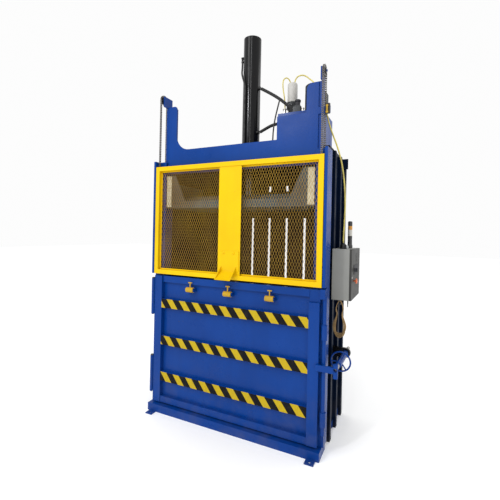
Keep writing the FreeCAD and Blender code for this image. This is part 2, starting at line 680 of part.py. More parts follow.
def dog_levers():
    """Three T-handled dog levers, and the lugs on the door that hold their pins."""
    lugs = []
    for count, step in enumerate((-1, 0, 1), start=1):
        centre = f"{step} * dog_side"
        start = f"{centre} - dog_length / 2"
        barrel = rod((start, "0", "dog_height"), "X", "dog_length", "dog_radius")
        bore = rod((f"{start} - 1", "0", "dog_height"), "X", "dog_length + 2",
                   "dog_pin + axle_fit")
        stem = rod((centre, "0", "dog_height"), "Z", "dog_rise", "dog_rod")
        bar = rod((f"{centre} - dog_bar / 2", "0", "dog_height + dog_rise"), "X", "dog_bar",
                  "dog_rod")
        node(carved(joined([barrel, stem, bar]), [bore]), f"dog_lever_{count}")
        ears = []
        for way in (-1, 1):
            middle = f"{centre} + {way} * (dog_length / 2 + lug_gap + lug_thick / 2)"
            ears.append(box(span(middle, "lug_thick"), ("-10", "door_sheet_front"),
                            span("dog_height", "30")))
        pin = rod((f"{start} - lug_gap - lug_thick", "0", "dog_height"), "X",
                  "dog_length + 2 * (lug_gap + lug_thick)", "dog_pin")
        lugs.append(joined(ears + [pin]))
    node(group(lugs), "dog_lugs")


# ---- door lock ------------------------------------------------------------------------------
def door_lock():
    """Arm and barrel on the door, the screw that enters the barrel, its wheel and bracket."""
    barrel = rod(("screw_side", "-arm_thick / 2", "barrel_low"), "Z",
                 "barrel_high - barrel_low", "barrel_radius")
    arm = box(("arm_left", "screw_side"), ("-arm_thick", "0"), ("arm_low", "arm_high"))
    bore = rod(("screw_side", "-arm_thick / 2 - barrel_radius - 1", "screw_height"), "Y",
               "2 * barrel_radius + 2", "screw_radius + screw_fit")
    node(carved(joined([barrel, arm]), [bore]), "lock_arm")
    tip = "barrel_radius - arm_thick / 2 + 1"
    node(rod(("screw_side", tip, "screw_height"), "Y", f"screw_back - ({tip})",
             "screw_radius"), "lock_screw")
    sleeve = rod(("screw_side", "sleeve_front", "screw_height"), "Y",
                 "sleeve_back - sleeve_front", "sleeve_radius")
    rim = doc.addObject("Part::Torus", "Rim")
    bind(rim, "Radius1", "wheel_radius - wheel_rim")
    bind(rim, "Radius2", "wheel_rim")
    rim.Placement = FreeCAD.Placement(Vec(), FreeCAD.Rotation(Vec(1, 0, 0), -90))
    place(rim, "screw_side", "wheel_back", "screw_height")
    spokes = []
    for third in range(3):
        spoke = doc.addObject("Part::Cylinder", "Spoke")
        bind(spoke, "Radius", "spoke_radius")
        bind(spoke, "Height", "wheel_radius - wheel_rim")
        turn = FreeCAD.Rotation(Vec(0, 1, 0), 120 * third + 25)
        spoke.Placement = FreeCAD.Placement(Vec(), turn)
        spokes.append(place(spoke, "screw_side", "wheel_back", "screw_height"))
    hollow = rod(("screw_side", "sleeve_front - 1", "screw_height"), "Y",
                 "sleeve_back - sleeve_front + 2", "screw_radius + axle_fit")
    node(carved(joined([sleeve, rim] + spokes), [hollow]), "handwheel")
    arch = rod(("screw_side", "bracket_back", "screw_height"), "Y", "bracket_thick",
               "bracket_half")
    foot = box(("wall_skin", "screw_side"), ("bracket_back", "bracket_back + bracket_thick"),
               span("screw_height", "bracket_half * 2"))
    hole = rod(("screw_side", "bracket_back - 1", "screw_height"), "Y", "bracket_thick + 2",
               "screw_radius + screw_fit")
    node(carved(joined([arch, foot]), [hole]), "lock_bracket")


def lock_rod():
    """The vertical rod beside the door's edge, and the clamps that hold it to the post."""
    node(rod(("lock_rod_side", "lock_rod_back", "clamp_one - 60"), "Z",
             "block_low + 20 - clamp_one + 60", "lock_rod_radius"), "lock_rod")
    clamps = []
    for low, length in (("clamp_one", "clamp_length"), ("clamp_two", "clamp_length")):
        ring = rod(("lock_rod_side", "lock_rod_back", low), "Z", length, "clamp_radius")
        web = box(("half_width - 16", "half_width - 6"), ("lock_rod_back", "post_front"),
                  (f"{low} + 20", f"{low} + {length} - 20"))
        core = rod(("lock_rod_side", "lock_rod_back", f"{low} - 1"), "Z", f"{length} + 2",
                   "lock_rod_radius")
        clamps.append(carved(joined([ring, web]), [core]))
    block = box(("door_half + 4", "half_width + 3"), ("0", "post_front"),
                ("block_low", "block_high"))
    socket = rod(("lock_rod_side", "lock_rod_back", "block_low - 1"), "Z", "21",
                 "lock_rod_radius")
    clamps.append(carved(block, [socket]))
    node(group(clamps), "rod_clamps")


# ---- power unit -----------------------------------------------------------------------------
def power_unit():
    """Oil tank on the crown, its motor and pump, and the return filter."""
    tank = box(("tank_left", "tank_right"), ("tank_front", "tank_back"), ("tank_low", "tank_high"))
    port = rod(("hose_side", "hose_back", "tank_high"), "Z", "port_length", "port_radius")
    node(joined([tank, port]), "oil_tank")
    bell = rod(("motor_side", "motor_back", "tank_high"), "Z", "bell_height",
               "motor_radius - 20")
    stator = rod(("motor_side", "motor_back", "tank_high + bell_height"), "Z",
                 "motor_high - tank_high - bell_height - cowl_height", "motor_radius - 6")
    cowl = rod(("motor_side", "motor_back", "motor_high - cowl_height"), "Z", "cowl_height",
               "motor_radius")
    case = box(("motor_side + motor_radius - 20", "motor_side + motor_radius + 28"),
               span("motor_back", "90"), ("motor_high - 170", "motor_high - 80"))
    node(joined([bell, stator, cowl, case]), "drive_motor")
    neck = rod(("filter_side", "filter_back", "tank_high"), "Z", "filter_low - tank_high",
               "filter_radius - 9")
    head = rod(("filter_side", "filter_back", "filter_low - head_height"), "Z", "head_height",
               "filter_radius + 3")
    node(joined([neck, head]), "filter_head")
    can = rod(("filter_side", "filter_back", "filter_low"), "Z", "filter_high - filter_low",
              "filter_radius")
    node(can, "filter_canister")


def pipework():
    """Hoses, the cap-end pipe, the support rod and the cables, each in a node of its own."""
    tube("pressure_hose", [(105, 360, 2930), (190, 356, 2877), (290, 353, 2806),
                           (365, 356, 2738), (401, 360, 2696), (401, 360, 2655)], 13.5)
    tube("return_hose", [(105, 352, 2538), (160, 350, 2562), (215, 350, 2584),
                         (265, 350, 2592), (311.7, 350, 2592)], 13.5)
    tube("cap_pipe", [(-22, 284, 2340.3), (-22, 284, 2950), (-64, 292, 3060),
                      (-86, 345, 3140), (-86, 345, 3192.7)], 8)
    tube("support_rod", [(271, 243.7, 2340.3), (271, 243.7, 2420), (275, 243.7, 2510),
                         (288, 243.7, 2600), (307, 243.7, 2680), (327, 243.7, 2756)], 6)
    tube("power_cable", CABLE_ROUTE, 4.5)
    tube("loop_cable", LOOP_ROUTE, 4.5)


# ---- control box and cord -------------------------------------------------------------------
def control_box():
    """Wall-mounted control box with a hinged front, its selector, stop button and beacon."""
    shell = box(("box_in", "box_out - lid_thick - lid_gap"), ("box_front", "box_back"),
                ("box_low", "box_high"))
    inside = box(("box_in + box_wall", "box_out"),
                 ("box_front + box_wall", "box_back - box_wall"),
                 ("box_low + box_wall", "box_high - box_wall"))
    node(carved(shell, [inside]), "control_box")
    lid = box(("box_out - lid_thick", "box_out"), ("box_front", "box_back"),
              ("box_low", "box_high"))
    vents = []
    for step in range(6):
        vents.append(box(("box_out - 3", "box_out + 1"), span("(box_front + box_back) / 2", "90"),
                         span(f"box_high - 40 - {step} * 12", "4")))
    holes = []
    for high in ("knob_height", "stop_height"):
        holes.append(rod(("box_out - lid_thick - 1", "button_back", high), "X",
                         "lid_thick + 2", "shank_radius + axle_fit"))
    barrel = rod(("box_out - lid_thick / 2", "box_back + lid_barrel + 1", "box_low + 20"), "Z",
                 "box_high - box_low - 40", "lid_barrel")
    leaf = box(span("box_out - lid_thick / 2", "lid_barrel"),
               ("box_back - 1", "box_back + lid_barrel + 1"), ("box_low + 20", "box_high - 20"))
    node(joined([carved(lid, vents + holes), barrel, leaf]), "control_door")
    knob = rod(("box_out + 0.3", "button_back", "knob_height"), "X", "14", "knob_radius")
    grip = box(("box_out + 14", "box_out + 26"), span("button_back", "7"),
               span("knob_height", "2 * knob_radius - 4"))
    shank = rod(("box_out - lid_thick", "button_back", "knob_height"), "X", "lid_thick + 1",
                "shank_radius")
    node(joined([knob, grip, shank]), "selector_knob")
    cap = rod(("box_out + 14", "button_back", "stop_height"), "X", "12", "knob_radius + 4")
    stem = rod(("box_out - lid_thick", "button_back", "stop_height"), "X", "lid_thick + 15",
               "shank_radius")
    node(joined([cap, stem]), "stop_button")


def box_fittings():
    """Cable glands and the signal beacon on top of the control box."""
    glands = []
    for side, back in (("gland_side", "gland_back"), ("gland_side + 30", "gland_back"),
                       ("gland_side", "gland_back + 34")):
        glands.append(rod((side, back, "box_high"), "Z", "gland_height_over", "gland_radius"))
        glands.append(rod((side, back, "box_high + gland_height_over"), "Z", "8",
                          "gland_radius - 3"))
    node(joined(glands), "cable_glands")
    base = rod(("beacon_side", "beacon_back", "box_high"), "Z", "30", "beacon_radius + 4")
    column = rod(("beacon_side", "beacon_back", "box_high"), "Z", "beacon_high - box_high",
                 "beacon_radius")
    node(joined([base, column]), "beacon")


def cord_rest():
    """A peg on the side rib, the hank of cord on it, and the wire loop under the box."""
    peg_height = "hank_high - 2 * hank_radius - 6.3"
    peg = rod(("hank_side", "hank_back - hank_radius - 8", peg_height), "Y",
              "2 * hank_radius + 12", "6")
    lug = box(span("hank_side", "12"),
              ("hank_back + hank_radius + 2", "hank_back + hank_radius + 8"),
              (f"{peg_height} - 7", "box_low"))
    outline = [("loop_back - 36", "box_low"), ("loop_back + 36", "box_low"),
               ("loop_back", "box_low - 118")]
    cutout = [("loop_back - 26", "box_low - 6"), ("loop_back + 26", "box_low - 6"),
              ("loop_back", "box_low - 96")]
    outer = profile("", "YZ_Plane", outline, "loop_side - 3", "6")
    inner = profile("", "YZ_Plane", cutout, "loop_side - 4", "8")
    node(group([joined([peg, lug]), carved(outer, [inner])]), "cord_hooks")
    radius = size("hank_radius")
    bend = size("hank_bend")
    centre = Vec(size("hank_side"), size("hank_back"), 0)
    top = size("hank_high") - radius - bend
    low = size("hank_low") + radius + bend
    edges = [
        Part.LineSegment(centre + Vec(-bend, 0, low), centre + Vec(-bend, 0, top)).toShape(),
        Part.Arc(centre + Vec(-bend, 0, top), centre + Vec(0, 0, top + bend),
                 centre + Vec(bend, 0, top)).toShape(),
        Part.LineSegment(centre + Vec(bend, 0, top), centre + Vec(bend, 0, low)).toShape(),
        Part.Arc(centre + Vec(bend, 0, low), centre + Vec(0, 0, low - bend),
                 centre + Vec(-bend, 0, low)).toShape(),
    ]
    ring = Part.Circle(centre + Vec(-bend, 0, low), Vec(0, 0, 1), radius)
    path = Part.Wire(edges)
    shaped(path.makePipeShell([Part.Wire([ring.toShape()])], True, False, 2), "cord_hank")


def limit_switch():
    """Lever switch on the right ear that the raised gate trips."""
    body = box(("switch_side", "switch_side + 36"), ("header_front - 22", "header_front"),
               ("switch_low", "switch_low + 72"))
    lever = box(("switch_side + 14", "switch_side + 22"),
                ("header_front - 29", "header_front - 22"),
                ("switch_low - 10", "switch_low + 40"))
    node(joined([body, lever]), "limit_switch")


base_frame()
anchor_feet()
corner_post(-1, "left_post")
corner_post(1, "right_post")
side_wall(-1, "left_side_wall")
side_wall(1, "right_side_wall")
rear_wall()
header_frame()
crown_beam()
cylinder()
platen()
wear_strips()
piston_rod()
feed_gate()
chains()
sprockets()
sprocket_brackets()
counterweights()
bale_door()
frame_hinges()
dog_levers()
door_lock()
lock_rod()
power_unit()
pipework()
control_box()
box_fittings()
cord_rest()
limit_switch()
doc.recompute()

for thing in doc.Objects:
    if {"Invalid", "Error"} & set(thing.State):
        raise RuntimeError(f"{thing.Label} did not recompute: {thing.State}")
for thing in nodes:
    if thing.Shape.isNull() or not thing.Shape.isValid():
        raise RuntimeError(f"{thing.Label} has no valid shape")
    thing.Shape.exportStep(f"parts/{thing.Label}.step")
print(f"{len(nodes)} sub-parts written")
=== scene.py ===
"""Visual model of a vertical recycling baler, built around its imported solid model."""

import logging
import math
from dataclasses import dataclass, field
from enum import Enum

import bmesh
import bpy
from mathutils import Matrix, Vector

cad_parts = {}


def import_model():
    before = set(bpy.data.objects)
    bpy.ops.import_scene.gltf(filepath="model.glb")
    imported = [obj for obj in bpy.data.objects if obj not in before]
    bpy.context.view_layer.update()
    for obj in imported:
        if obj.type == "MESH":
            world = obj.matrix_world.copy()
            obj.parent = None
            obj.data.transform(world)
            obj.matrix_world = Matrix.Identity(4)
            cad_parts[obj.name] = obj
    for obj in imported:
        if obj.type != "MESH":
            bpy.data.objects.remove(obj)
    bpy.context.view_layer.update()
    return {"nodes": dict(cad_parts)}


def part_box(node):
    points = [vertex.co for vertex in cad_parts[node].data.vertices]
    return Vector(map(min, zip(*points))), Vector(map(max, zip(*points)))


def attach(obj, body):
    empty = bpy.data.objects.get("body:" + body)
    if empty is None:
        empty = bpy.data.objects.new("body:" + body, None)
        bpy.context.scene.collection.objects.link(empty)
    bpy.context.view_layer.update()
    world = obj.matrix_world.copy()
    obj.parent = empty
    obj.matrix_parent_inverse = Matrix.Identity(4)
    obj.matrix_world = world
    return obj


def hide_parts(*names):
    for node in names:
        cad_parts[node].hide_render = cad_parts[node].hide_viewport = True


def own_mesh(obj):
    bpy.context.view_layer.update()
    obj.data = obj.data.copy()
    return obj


LOG = logging.getLogger("baler")
Point = tuple[float, float, float]
Colour = tuple[float, float, float]
Socket = bpy.types.NodeSocket
CLEAR = 0.0002  # gap under a small part that stands on the solid model


class Axis(Enum):
    """Directions that a turned or padded shape can point along."""

    X = (1.0, 0.0, 0.0)
    Y = (0.0, 1.0, 0.0)
    Z = (0.0, 0.0, 1.0)


# ---- finishes ---------------------------------------------------------------------------------
class Nodes:
    """A node tree with short calls that add nodes and join them."""

    tree: bpy.types.NodeTree

    def add(self, kind: str, sockets: dict | None = None, **settings: object) -> bpy.types.Node:
        """Adds one node.

        Args:
            kind: The node's type name.
            sockets: Values or source sockets for its inputs, by name or number.
            settings: Values for its properties.

        Returns:
            The new node.
        """
        node = self.tree.nodes.new(kind)
        for name, value in settings.items():
            setattr(node, name, value)
        for name, value in (sockets or {}).items():
            if isinstance(value, bpy.types.NodeSocket):
                self.join(value, node.inputs[name])
            else:
                node.inputs[name].default_value = value
        return node

    def join(self, source: Socket, target: Socket) -> None:
        """Links two sockets."""
        self.tree.links.new(source, target)


class Graph(Nodes):
    """The node tree of one material, with short calls for the nodes that finishes share."""

    def __init__(self, name: str) -> None:
        """Starts a material with a single shader.

        Args:
            name: The material's name.
        """
        self.material = bpy.data.materials.new(name)
        self.material.use_nodes = True
        self.tree = self.material.node_tree
        self.tree.nodes.clear()
        self.shader = self.add("ShaderNodeBsdfPrincipled")
        output = self.add("ShaderNodeOutputMaterial")
        self.join(self.shader.outputs["BSDF"], output.inputs["Surface"])
        self.where = self.add("ShaderNodeTexCoord").outputs["Object"]

    def noise(self, scale: float, detail: float = 4.0, stretch: Point = (1, 1, 1)) -> Socket:
        """Cloudy pattern on the piece's own coordinates.

        Args:
            scale: Clouds per metre.
            detail: Octaves of finer clouds.
            stretch: Scale along each axis.

        Returns:
            A value from 0 to 1.
        """
        place = self.add("ShaderNodeMapping", {"Vector": self.where, "Scale": stretch})
        cloud = self.add("ShaderNodeTexNoise", {"Vector": place.outputs[0], "Scale": scale,
                                                "Detail": detail})
        return cloud.outputs["Fac"]

    def level(self, value: Socket, low: float, high: float, start: float = 0.0,
              end: float = 1.0) -> Socket:
        """Maps a range of values to another, clamped at both ends.

        Args:
            value: The value to map.
            low: The range's low end.
            high: The range's high end.
            start: The result at the low end.
            end: The result at the high end.

        Returns:
            The mapped value.
        """
        node = self.add("ShaderNodeMapRange", {"Value": value, "From Min": low, "From Max": high,
                                               "To Min": start, "To Max": end})
        return node.outputs["Result"]

    def times(self, first: Socket, second: Socket | float, more: Socket | float = 0.0) -> Socket:
        """The product of two values, with a third one added."""
        return self.add("ShaderNodeMath", {0: first, 1: second, 2: more},
                        operation="MULTIPLY_ADD").outputs[0]

    def blend(self, share: Socket, first: Socket | Colour, second: Socket | Colour) -> Socket:
        """Mixes two colours.

        Args:
            share: The share of the second colour.
            first: The colour at 0.
            second: The colour at 1.

        Returns:
            The mixed colour.
        """
        ends = [c if isinstance(c, bpy.types.NodeSocket) else (*c, 1.0) for c in (first, second)]
        node = self.add("ShaderNodeMix", {0: share, 6: ends[0], 7: ends[1]}, data_type="RGBA")
        return node.outputs[2]

    def colour(self, source: Socket) -> None:
        """Joins a colour to the shader."""
        self.join(source, self.shader.inputs["Base Color"])

    def roughness(self, pattern: Socket, low: float, high: float, start: float,
                  end: float) -> None:
        """Joins a pattern, mapped from one range to another, to the shader's roughness."""
        self.join(self.level(pattern, low, high, start, end), self.shader.inputs["Roughness"])

    def bump(self, height: Socket, depth: float) -> None:
        """Raises the surface by a height pattern, in metres."""
        node = self.add("ShaderNodeBump", {"Height": height, "Distance": depth, "Strength": 0.6})
        self.join(node.outputs[0], self.shader.inputs["Normal"])

    def axes(self) -> list[Socket]:
        """The three object coordinates."""
        return list(self.add("ShaderNodeSeparateXYZ", {0: self.where}).outputs)

    def set(self, **values: object) -> None:
        """Sets constants on the shader, with underscores for spaces in socket names."""
        for name, value in values.items():
            self.shader.inputs[name.replace("_", " ")].default_value = value


@dataclass(frozen=True)
class Enamel:
    """Sprayed gloss paint with uneven depth, faint runs and workshop dust near the floor."""

    name: str
    colour: Colour
    deep: Colour
    rough: float = 0.3
    dust: float = 0.15
    wear: Colour = (0.05, 0.05, 0.055)
    shine: float = 0.12
    coat: float = 0.04
    grain: float = 0.0005

    def build(self) -> bpy.types.Material:
        """Makes the material.

        Returns:
            The new material.
        """
        graph = Graph(self.name)
        clouds = graph.level(graph.noise(2.2, 5.0), 0.35, 0.7)
        runs = graph.level(graph.noise(5.0, 3.0, (3.0, 3.0, 0.25)), 0.45, 0.8, 0.0, 0.5)
        paint = graph.blend(clouds, self.colour, self.deep)
        paint = graph.blend(runs, paint, self.deep)
        height = graph.level(graph.axes()[2], 0.0, 0.55, 1.0, 0.0)
        specks = graph.level(graph.noise(9.0), 0.4, 0.75)
        dusty = graph.times(graph.times(height, specks), self.dust)
        paint = graph.blend(dusty, paint, (0.17, 0.15, 0.13))
        chips = graph.level(graph.noise(38.0, 6.0), 0.735, 0.75, 0.0, 0.85)
        paint = graph.blend(chips, paint, self.wear)
        graph.colour(paint)
        graph.roughness(graph.noise(6.0, 6.0), 0.3, 0.75, self.rough, self.rough + 0.18)
        if self.grain:
            graph.bump(graph.noise(130.0, 2.0), self.grain)
        graph.set(Specular_IOR_Level=self.shine, Coat_Weight=self.coat, Coat_Roughness=0.12)
        return graph.material


@dataclass(frozen=True)
class BareMetal:
    """Metal with directional scratches and darker oily patches."""

    name: str
    colour: Colour
    deep: Colour
    rough: float = 0.3
    grain: Point = (1.0, 1.0, 40.0)
    metallic: float = 1.0

    def build(self) -> bpy.types.Material:
        """Makes the material.

        Returns:
            The new material.
        """
        graph = Graph(self.name)
        patches = graph.level(graph.noise(24.0, 6.0), 0.42, 0.68)
        graph.colour(graph.blend(patches, self.colour, self.deep))
        scratches = graph.noise(60.0, 3.0, self.grain)
        graph.roughness(scratches, 0.3, 0.7, self.rough, self.rough + 0.2)
        graph.bump(scratches, 0.0002)
        graph.set(Metallic=self.metallic)
        return graph.material


@dataclass(frozen=True)
class Moulded:
    """Plastic, rubber or cord sheath with a fine grain and a little colour drift."""

    name: str
    colour: Colour
    deep: Colour
    rough: float = 0.5
    grain: float = 300.0
    depth: float = 0.0003

    def build(self) -> bpy.types.Material:
        """Makes the material.

        Returns:
            The new material.
        """
        graph = Graph(self.name)
        drift = graph.level(graph.noise(18.0, 4.0), 0.35, 0.7)
        graph.colour(graph.blend(drift, self.colour, self.deep))
        graph.roughness(graph.noise(30.0, 3.0), 0.3, 0.7, self.rough - 0.06, self.rough + 0.1)
        graph.bump(graph.noise(self.grain, 2.0), self.depth)
        return graph.material


@dataclass(frozen=True)
class HazardTape:
    """Slanting yellow and black bars on the front face, with the rail's paint on the rest."""

    name: str
    pitch: float = 0.1366
    first_bar: float = 40.0
    lean: float = 0.75
    share: float = 0.48
    edge: float = 0.008

    def build(self) -> bpy.types.Material:
        """Makes the material.

        Returns:
            The new material.
        """
        graph = Graph(self.name)
        across, _, up = graph.axes()
        slanted = graph.times(up, self.lean, across)
        turns = graph.times(slanted, 1.0 / self.pitch, self.first_bar)
        saw = graph.add("ShaderNodeMath", {0: turns}, operation="FRACT").outputs[0]
        bars = graph.level(saw, self.share - self.edge, self.share + self.edge, 1.0, 0.0)
        scuffs = graph.level(graph.noise(26.0, 7.0), 0.5, 0.8, 0.0, 0.45)
        yellow = graph.blend(scuffs, (0.47, 0.335, 0.014), (0.26, 0.18, 0.025))
        black = graph.blend(scuffs, (0.006, 0.006, 0.007), (0.035, 0.03, 0.025))
        tape = graph.blend(bars, black, yellow)
        facing = graph.add("ShaderNodeNewGeometry").outputs["Normal"]
        front = graph.add("ShaderNodeSeparateXYZ", {0: facing}).outputs[1]
        rail = graph.level(front, -0.9, -0.8)
        graph.colour(graph.blend(rail, tape, (0.0022, 0.043, 0.240)))
        graph.roughness(graph.noise(12.0, 4.0), 0.3, 0.7, 0.34, 0.55)
        graph.bump(graph.noise(160.0, 2.0), 0.0003)
        graph.set(Specular_IOR_Level=0.08)
        return graph.material


@dataclass(frozen=True)
class Lined:
    """Rubbed brown lining in front of a plane across Y, and dark paint behind it."""

    name: str
    plane: float

    def build(self) -> bpy.types.Material:
        """Makes the material.

        Returns:
            The new material.
        """
        graph = Graph(self.name)
        clouds = graph.level(graph.noise(4.0, 6.0), 0.35, 0.7)
        lining = graph.blend(clouds, (0.030, 0.022, 0.014), (0.055, 0.034, 0.020))
        outside = graph.blend(clouds, (0.0015, 0.012, 0.055), (0.001, 0.008, 0.035))
        behind = graph.level(graph.axes()[1], self.plane, self.plane + 0.001)
        graph.colour(graph.blend(behind, lining, outside))
        graph.roughness(graph.noise(6.0, 6.0), 0.3, 0.75, 0.36, 0.55)
        graph.bump(graph.noise(130.0, 2.0), 0.0005)
        graph.set(Specular_IOR_Level=0.06)
        return graph.material


@dataclass(frozen=True)
class Banded:
    """Stacked coloured bands along the height, as on a signal light."""

    name: str
    low: float
    high: float
    bands: tuple[tuple[float, Colour], ...]

    def build(self) -> bpy.types.Material:
        """Makes the material.

        Returns:
            The new material.
        """
        graph = Graph(self.name)
        share = graph.level(graph.axes()[2], self.low, self.high)
        ramp = graph.add("ShaderNodeValToRGB", {0: share})
        ramp.color_ramp.interpolation = "CONSTANT"
        stops = ramp.color_ramp.elements
        while len(stops) < len(self.bands):
            stops.new(0.5)
        for stop, (place, colour) in zip(stops, self.bands):
            stop.position = place
            stop.color = (*colour, 1.0)
        tint = graph.level(graph.noise(60.0), 0.3, 0.8, 0.0, 0.2)
        graph.colour(graph.blend(tint, ramp.outputs[0], (0.1, 0.09, 0.08)))
        graph.set(Roughness=0.22, Coat_Weight=0.3)
        return graph.material


class Paint(Enum):
    """Every finish on the machine."""

    BODY = Enamel("body_blue", (0.0022, 0.043, 0.240), (0.0016, 0.033, 0.190), rough=0.24)
    # Side walls and crown beam: a much darker copy of the body blue, painted shade of the unlit
    # sides.
    SIDE = Enamel("side_blue_painted_shade", (0.0012, 0.0065, 0.024), (0.0009, 0.004, 0.013), rough=0.4,
                  shine=0.04, coat=0.0)
    LINING = Lined("rear_lining", 0.6502)
    WORN = Enamel("worn_platen", (0.055, 0.100, 0.135), (0.090, 0.068, 0.042), rough=0.45,
                  dust=0.0, wear=(0.03, 0.025, 0.02), shine=0.15, coat=0.0)
    GATE = Enamel("gate_yellow", (0.76, 0.50, 0.0015), (0.70, 0.43, 0.002), rough=0.3,
                  wear=(0.35, 0.2, 0.03), dust=0.0)
    MESH = Enamel("mesh_yellow", (0.50, 0.30, 0.035), (0.28, 0.16, 0.035), rough=0.42,
                  dust=0.0, shine=0.3)
    DOG = Enamel("dog_yellow", (0.62, 0.38, 0.015), (0.36, 0.22, 0.03), rough=0.32)
    BLACK = Enamel("cylinder_black", (0.0035, 0.0035, 0.004), (0.005, 0.005, 0.0055), rough=0.10,
                   dust=0.0, wear=(0.01, 0.01, 0.01), shine=0.2, coat=0.0, grain=0.0)
    BOX = Enamel("box_grey", (0.29, 0.29, 0.268), (0.24, 0.24, 0.222), rough=0.45)
    # Control door: a much darker copy of the box grey, painted shade of the door that faces the
    # unlit side.
    SHADED_BOX_DOOR = Enamel("box_door_grey_painted_shade", (0.055, 0.054, 0.049), (0.038, 0.038, 0.036), rough=0.45)
    MOTOR = Enamel("motor_grey", (0.050, 0.054, 0.055), (0.022, 0.023, 0.025), rough=0.45)
    CANISTER = Enamel("canister_white", (0.50, 0.49, 0.465), (0.38, 0.365, 0.335), rough=0.28,
                      wear=(0.2, 0.18, 0.15), dust=0.0)
    TAPE = HazardTape("hazard_tape")
    # Piston rod: chrome darkened to a dark grey, painted shade of the dim chamber it runs in.
    SHADED_CHROME = BareMetal("rod_chrome_painted_shade", (0.16, 0.155, 0.15), (0.10, 0.09, 0.08), rough=0.16)
    BRIGHT = BareMetal("zinc_steel", (0.52, 0.50, 0.46), (0.34, 0.32, 0.29), rough=0.28)
    CHAIN = BareMetal("chain_steel", (0.30, 0.28, 0.26), (0.12, 0.11, 0.10), rough=0.36)
    IRON = BareMetal("dark_iron", (0.09, 0.09, 0.09), (0.04, 0.038, 0.036), rough=0.42)
    PIPE = BareMetal("grey_pipe", (0.06, 0.06, 0.06), (0.03, 0.03, 0.03), rough=0.4)
    STRIP = Moulded("guide_plastic", (0.66, 0.60, 0.42), (0.50, 0.44, 0.29), rough=0.5)
    HOSE = Moulded("hose_rubber", (0.006, 0.006, 0.006), (0.014, 0.013, 0.013), rough=0.42)
    KNOB = Moulded("black_plastic", (0.010, 0.010, 0.011), (0.02, 0.02, 0.02), rough=0.4)
    STOP = Moulded("orange_plastic", (0.55, 0.12, 0.015), (0.34, 0.07, 0.01), rough=0.3)
    GLAND = Moulded("white_plastic", (0.60, 0.61, 0.60), (0.42, 0.44, 0.44), rough=0.42)
    CABLE = Moulded("yellow_sheath", (0.66, 0.56, 0.12), (0.44, 0.36, 0.09), rough=0.42)
    # Bands from the bottom: dark base, an off-white band that is a painted highlight, the amber
    # lens and the dark cap.
    LIGHT = Banded("signal_light", 1.52, 1.745, (
        (0.0, (0.02, 0.02, 0.022)), (0.45, (0.60, 0.58, 0.52)), (0.68, (0.62, 0.27, 0.02)),
        (0.82, (0.02, 0.02, 0.022))))
    CORD = Moulded("tan_cord", (0.34, 0.22, 0.09), (0.16, 0.10, 0.045), rough=0.8, grain=900.0,
                   depth=0.0008)

    def material(self) -> bpy.types.Material:
        """The material, made at its first use."""
        ready = bpy.data.materials.get(self.value.name)
        return ready or self.value.build()


# ---- shapes -----------------------------------------------------------------------------------
def halfway(low: Point, high: Point) -> Point:
    """The middle of a box."""
    return tuple((start + end) / 2 for start, end in zip(low, high))


def new_object(name: str, data: bpy.types.ID) -> bpy.types.Object:
    """A new object in the scene.

    Args:
        name: Its name.
        data: Its mesh, curve, light or camera.

    Returns:
        The object.
    """
    piece = bpy.data.objects.new(name, data)
    bpy.context.scene.collection.objects.link(piece)
    return piece


